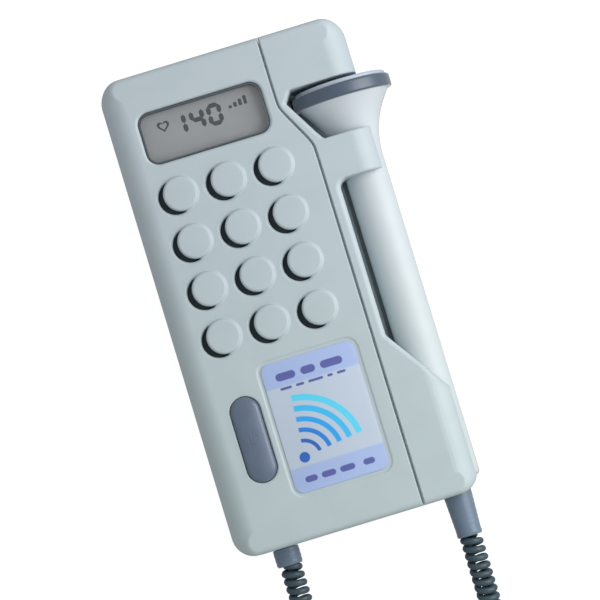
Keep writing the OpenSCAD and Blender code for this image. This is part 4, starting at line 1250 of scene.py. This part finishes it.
turns = np.linspace(0, spring_turns, spring_turns * 24 + 1)
half_spring = spring_pitch * spring_turns / 2
angle = 2 * math.pi * turns
coil = stack(spring_pitch * turns - half_spring,
             pin_y - spring_r * np.sin(angle), pin_z + spring_r * np.cos(angle))
legs = np.array([(-half_spring, pin_y + 0.9 * spring_leg, pin_z + spring_r),
                 (half_spring, pin_y - spring_leg, pin_z + spring_r)])
coil = np.vstack([legs[:1], coil, legs[1:]])
steel_finish = metal_finish("spring_steel", (196, 200, 204), 0.25)
spring = mesh_object("clip_spring_wire", *tube(coil, coil * 0 + (1, 0, 0), spring_mm / 2, 10), steel_finish)
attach(spring, "case")
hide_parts("clip_spring")

zinc_finish = metal_finish("zinc_plate", (205, 208, 210), 0.3)
softened("case_screws", 0.12, zinc_finish)
dress(steel_finish, "clip_pin")
dress(metal_finish("tinned_can", (200, 203, 205), 0.35), "power_switch")
dress(metal_finish("pressed_steel", (178, 182, 184), 0.4), "speaker_basket")


# ------------------------ moulded and pressed pieces inside
# The volume wheel, the black parts on the boards, the battery and its snap, the loudspeaker's soft parts,
# the leads and what the probe's shell holds.

def black_finish(name, light, dark, roughness):
    """Filled black resin: a fine grain, and a greyer bloom in places."""
    finish = Finish(name, Specular_IOR_Level=0.45)
    bloom = finish.noise(3, 3)
    grain = finish.noise(0.2, 2)
    finish.paint(Base_Color=finish.mix(bloom.step(0.35, 0.8), dark, light), Roughness=roughness + 0.2 * grain)
    return finish.bump(grain, 0.01, 0.4)


def board_finish(name, trace_mm=1.1, pad_grid_mm=(2.54, 5.08)):
    """Glass-fibre board under green lacquer, with traces and tinned pads where the cells of a grid meet."""
    finish = Finish(name, Specular_IOR_Level=0.5)
    x, y, z = finish.place()
    weave = finish.noise(0.3, 2)
    bend = finish.noise(7, 1)
    lane = ((x + bend * 6) / trace_mm).fract()
    cross_lane = ((y + bend * 5) / (trace_mm * 4)).fract()
    trace = abs(lane - 0.5).step(0.24, 0.18).most(abs(cross_lane - 0.5).step(0.06, 0.04))
    pad_x, pad_y = [((place / pitch).fract() - 0.5) * pitch for place, pitch in zip((x, y), pad_grid_mm)]
    pad = (pad_x ** 2 + pad_y ** 2).step(0.36, 0.25) * bend.step(0.45, 0.55)
    green = finish.mix(trace, srgb(22, 74, 46), srgb(40, 104, 62))
    green = finish.mix(weave * 0.25, green, srgb(16, 58, 38))
    finish.paint(Base_Color=finish.mix(pad, green, srgb(196, 198, 196)), Metallic=pad * 0.8,
                 Roughness=0.32 + 0.1 * weave)
    return finish.bump(trace.most(pad), 0.03, 0.6)


def cloth_finish(name, light, dark, thread_mm):
    """Plain weave: threads that pass over and under, from the product of a sine across and a sine along."""
    finish = Finish(name, roughness=0.9, Sheen_Weight=0.3)
    x, y, z = finish.place()
    turn = math.pi / thread_mm
    weave = (x * turn).sine() * (y * turn).sine() * 0.5 + 0.5
    finish.paint(Base_Color=finish.mix(weave * (0.7 + 0.3 * finish.noise(0.8)), dark, light))
    return finish.bump(weave, 0.08, 0.8)


def foam_finish(name, light, dark, cell_mm=0.5):
    """Open foam: cells from a Voronoi pattern."""
    finish = Finish(name, roughness=0.95)
    vector = finish.node("ShaderNodeTexCoord", output="Object")
    cells = finish.node("ShaderNodeTexVoronoi", inputs={"Vector": vector, "Scale": 1 / (cell_mm * MM)})
    finish.paint(Base_Color=finish.mix(cells.step(0.1, 0.6), dark, light))
    return finish.bump(cells, 0.15, 0.8)


def striped_finish(name, first, second, pitch_mm, roughness):
    """Stripes across X, such as the layers of an elastomer strip."""
    finish = Finish(name)
    x, y, z = finish.place()
    stripe = abs((x / pitch_mm).fract() - 0.5).step(0.22, 0.28)
    finish.paint(Base_Color=finish.mix(stripe, first, second), Roughness=roughness + 0.15 * finish.noise(4))
    return finish.bump(stripe, 0.02, 0.3)


battery_finish = Finish("battery_can", Specular_IOR_Level=0.5)
x, y, z = battery_finish.place()
scuff = battery_finish.noise(5, 4)
copper_end = y.step(-28.5, -28.1)
line = abs(y + 30.2).step(0.5, 0.35)
wrap = battery_finish.mix(copper_end, srgb(44, 48, 56), srgb(190, 132, 74))
wrap = battery_finish.mix(line, wrap, srgb(206, 206, 204))
battery_finish.paint(Base_Color=battery_finish.mix(scuff.step(0.5, 0.9) * 0.3, wrap, srgb(120, 118, 116)),
                     Metallic=copper_end * 0.6, Roughness=0.28 + 0.2 * scuff)
battery_finish.bump(scuff, 0.02, 0.3)
softened("battery", 0.8, battery_finish)

softened("volume_wheel", 0.15, slate_finish)
resin = black_finish("black_resin", srgb(50, 51, 54), srgb(30, 31, 34), 0.4)
for node, width in (("board_chips", 0.15), ("board_headers", 0.1), ("volume_pot", 0.1),
                    ("headphone_socket", 0.15), ("battery_snap", 0.3)):
    softened(node, width, resin)
dress(board_finish("green_board"), "main_board", "display_board", "button_board", "probe_board")
dress(polariser, "lcd_glass")
dress(striped_finish("zebra_rubber", srgb(60, 60, 62), srgb(196, 190, 178), 0.4, 0.6), "lcd_zebra_strips")
dress(cloth_finish("speaker_cloth", srgb(66, 80, 86), srgb(32, 42, 46), 0.35), "speaker_cloth")
dress(foam_finish("grey_foam", srgb(96, 98, 100), srgb(52, 54, 56)), "speaker_gasket", "battery_pad")
dress(cloth_finish("paper_cone", srgb(44, 43, 42), srgb(26, 25, 25), 0.22), "speaker_cone")
dress(black_finish("ferrite", srgb(74, 74, 78), srgb(48, 48, 52), 0.55), "speaker_magnet")
sleeve = rubber_finish("red_sleeve", srgb(172, 40, 36), srgb(150, 32, 30), 0.4, grain_mm=0.2)
dress(sleeve, "speaker_leads", "battery_leads", "probe_leads")
dress(cord_finish, "case_cord_lead")
ceramic = rubber_finish("crystal_ceramic", srgb(214, 206, 178), srgb(198, 190, 160), 0.5, grain_mm=0.15)
dress(ceramic, "crystal_transmit", "crystal_receive")
dress(foam_finish("backing_resin", srgb(96, 66, 50), srgb(70, 48, 38)), "crystal_backing")
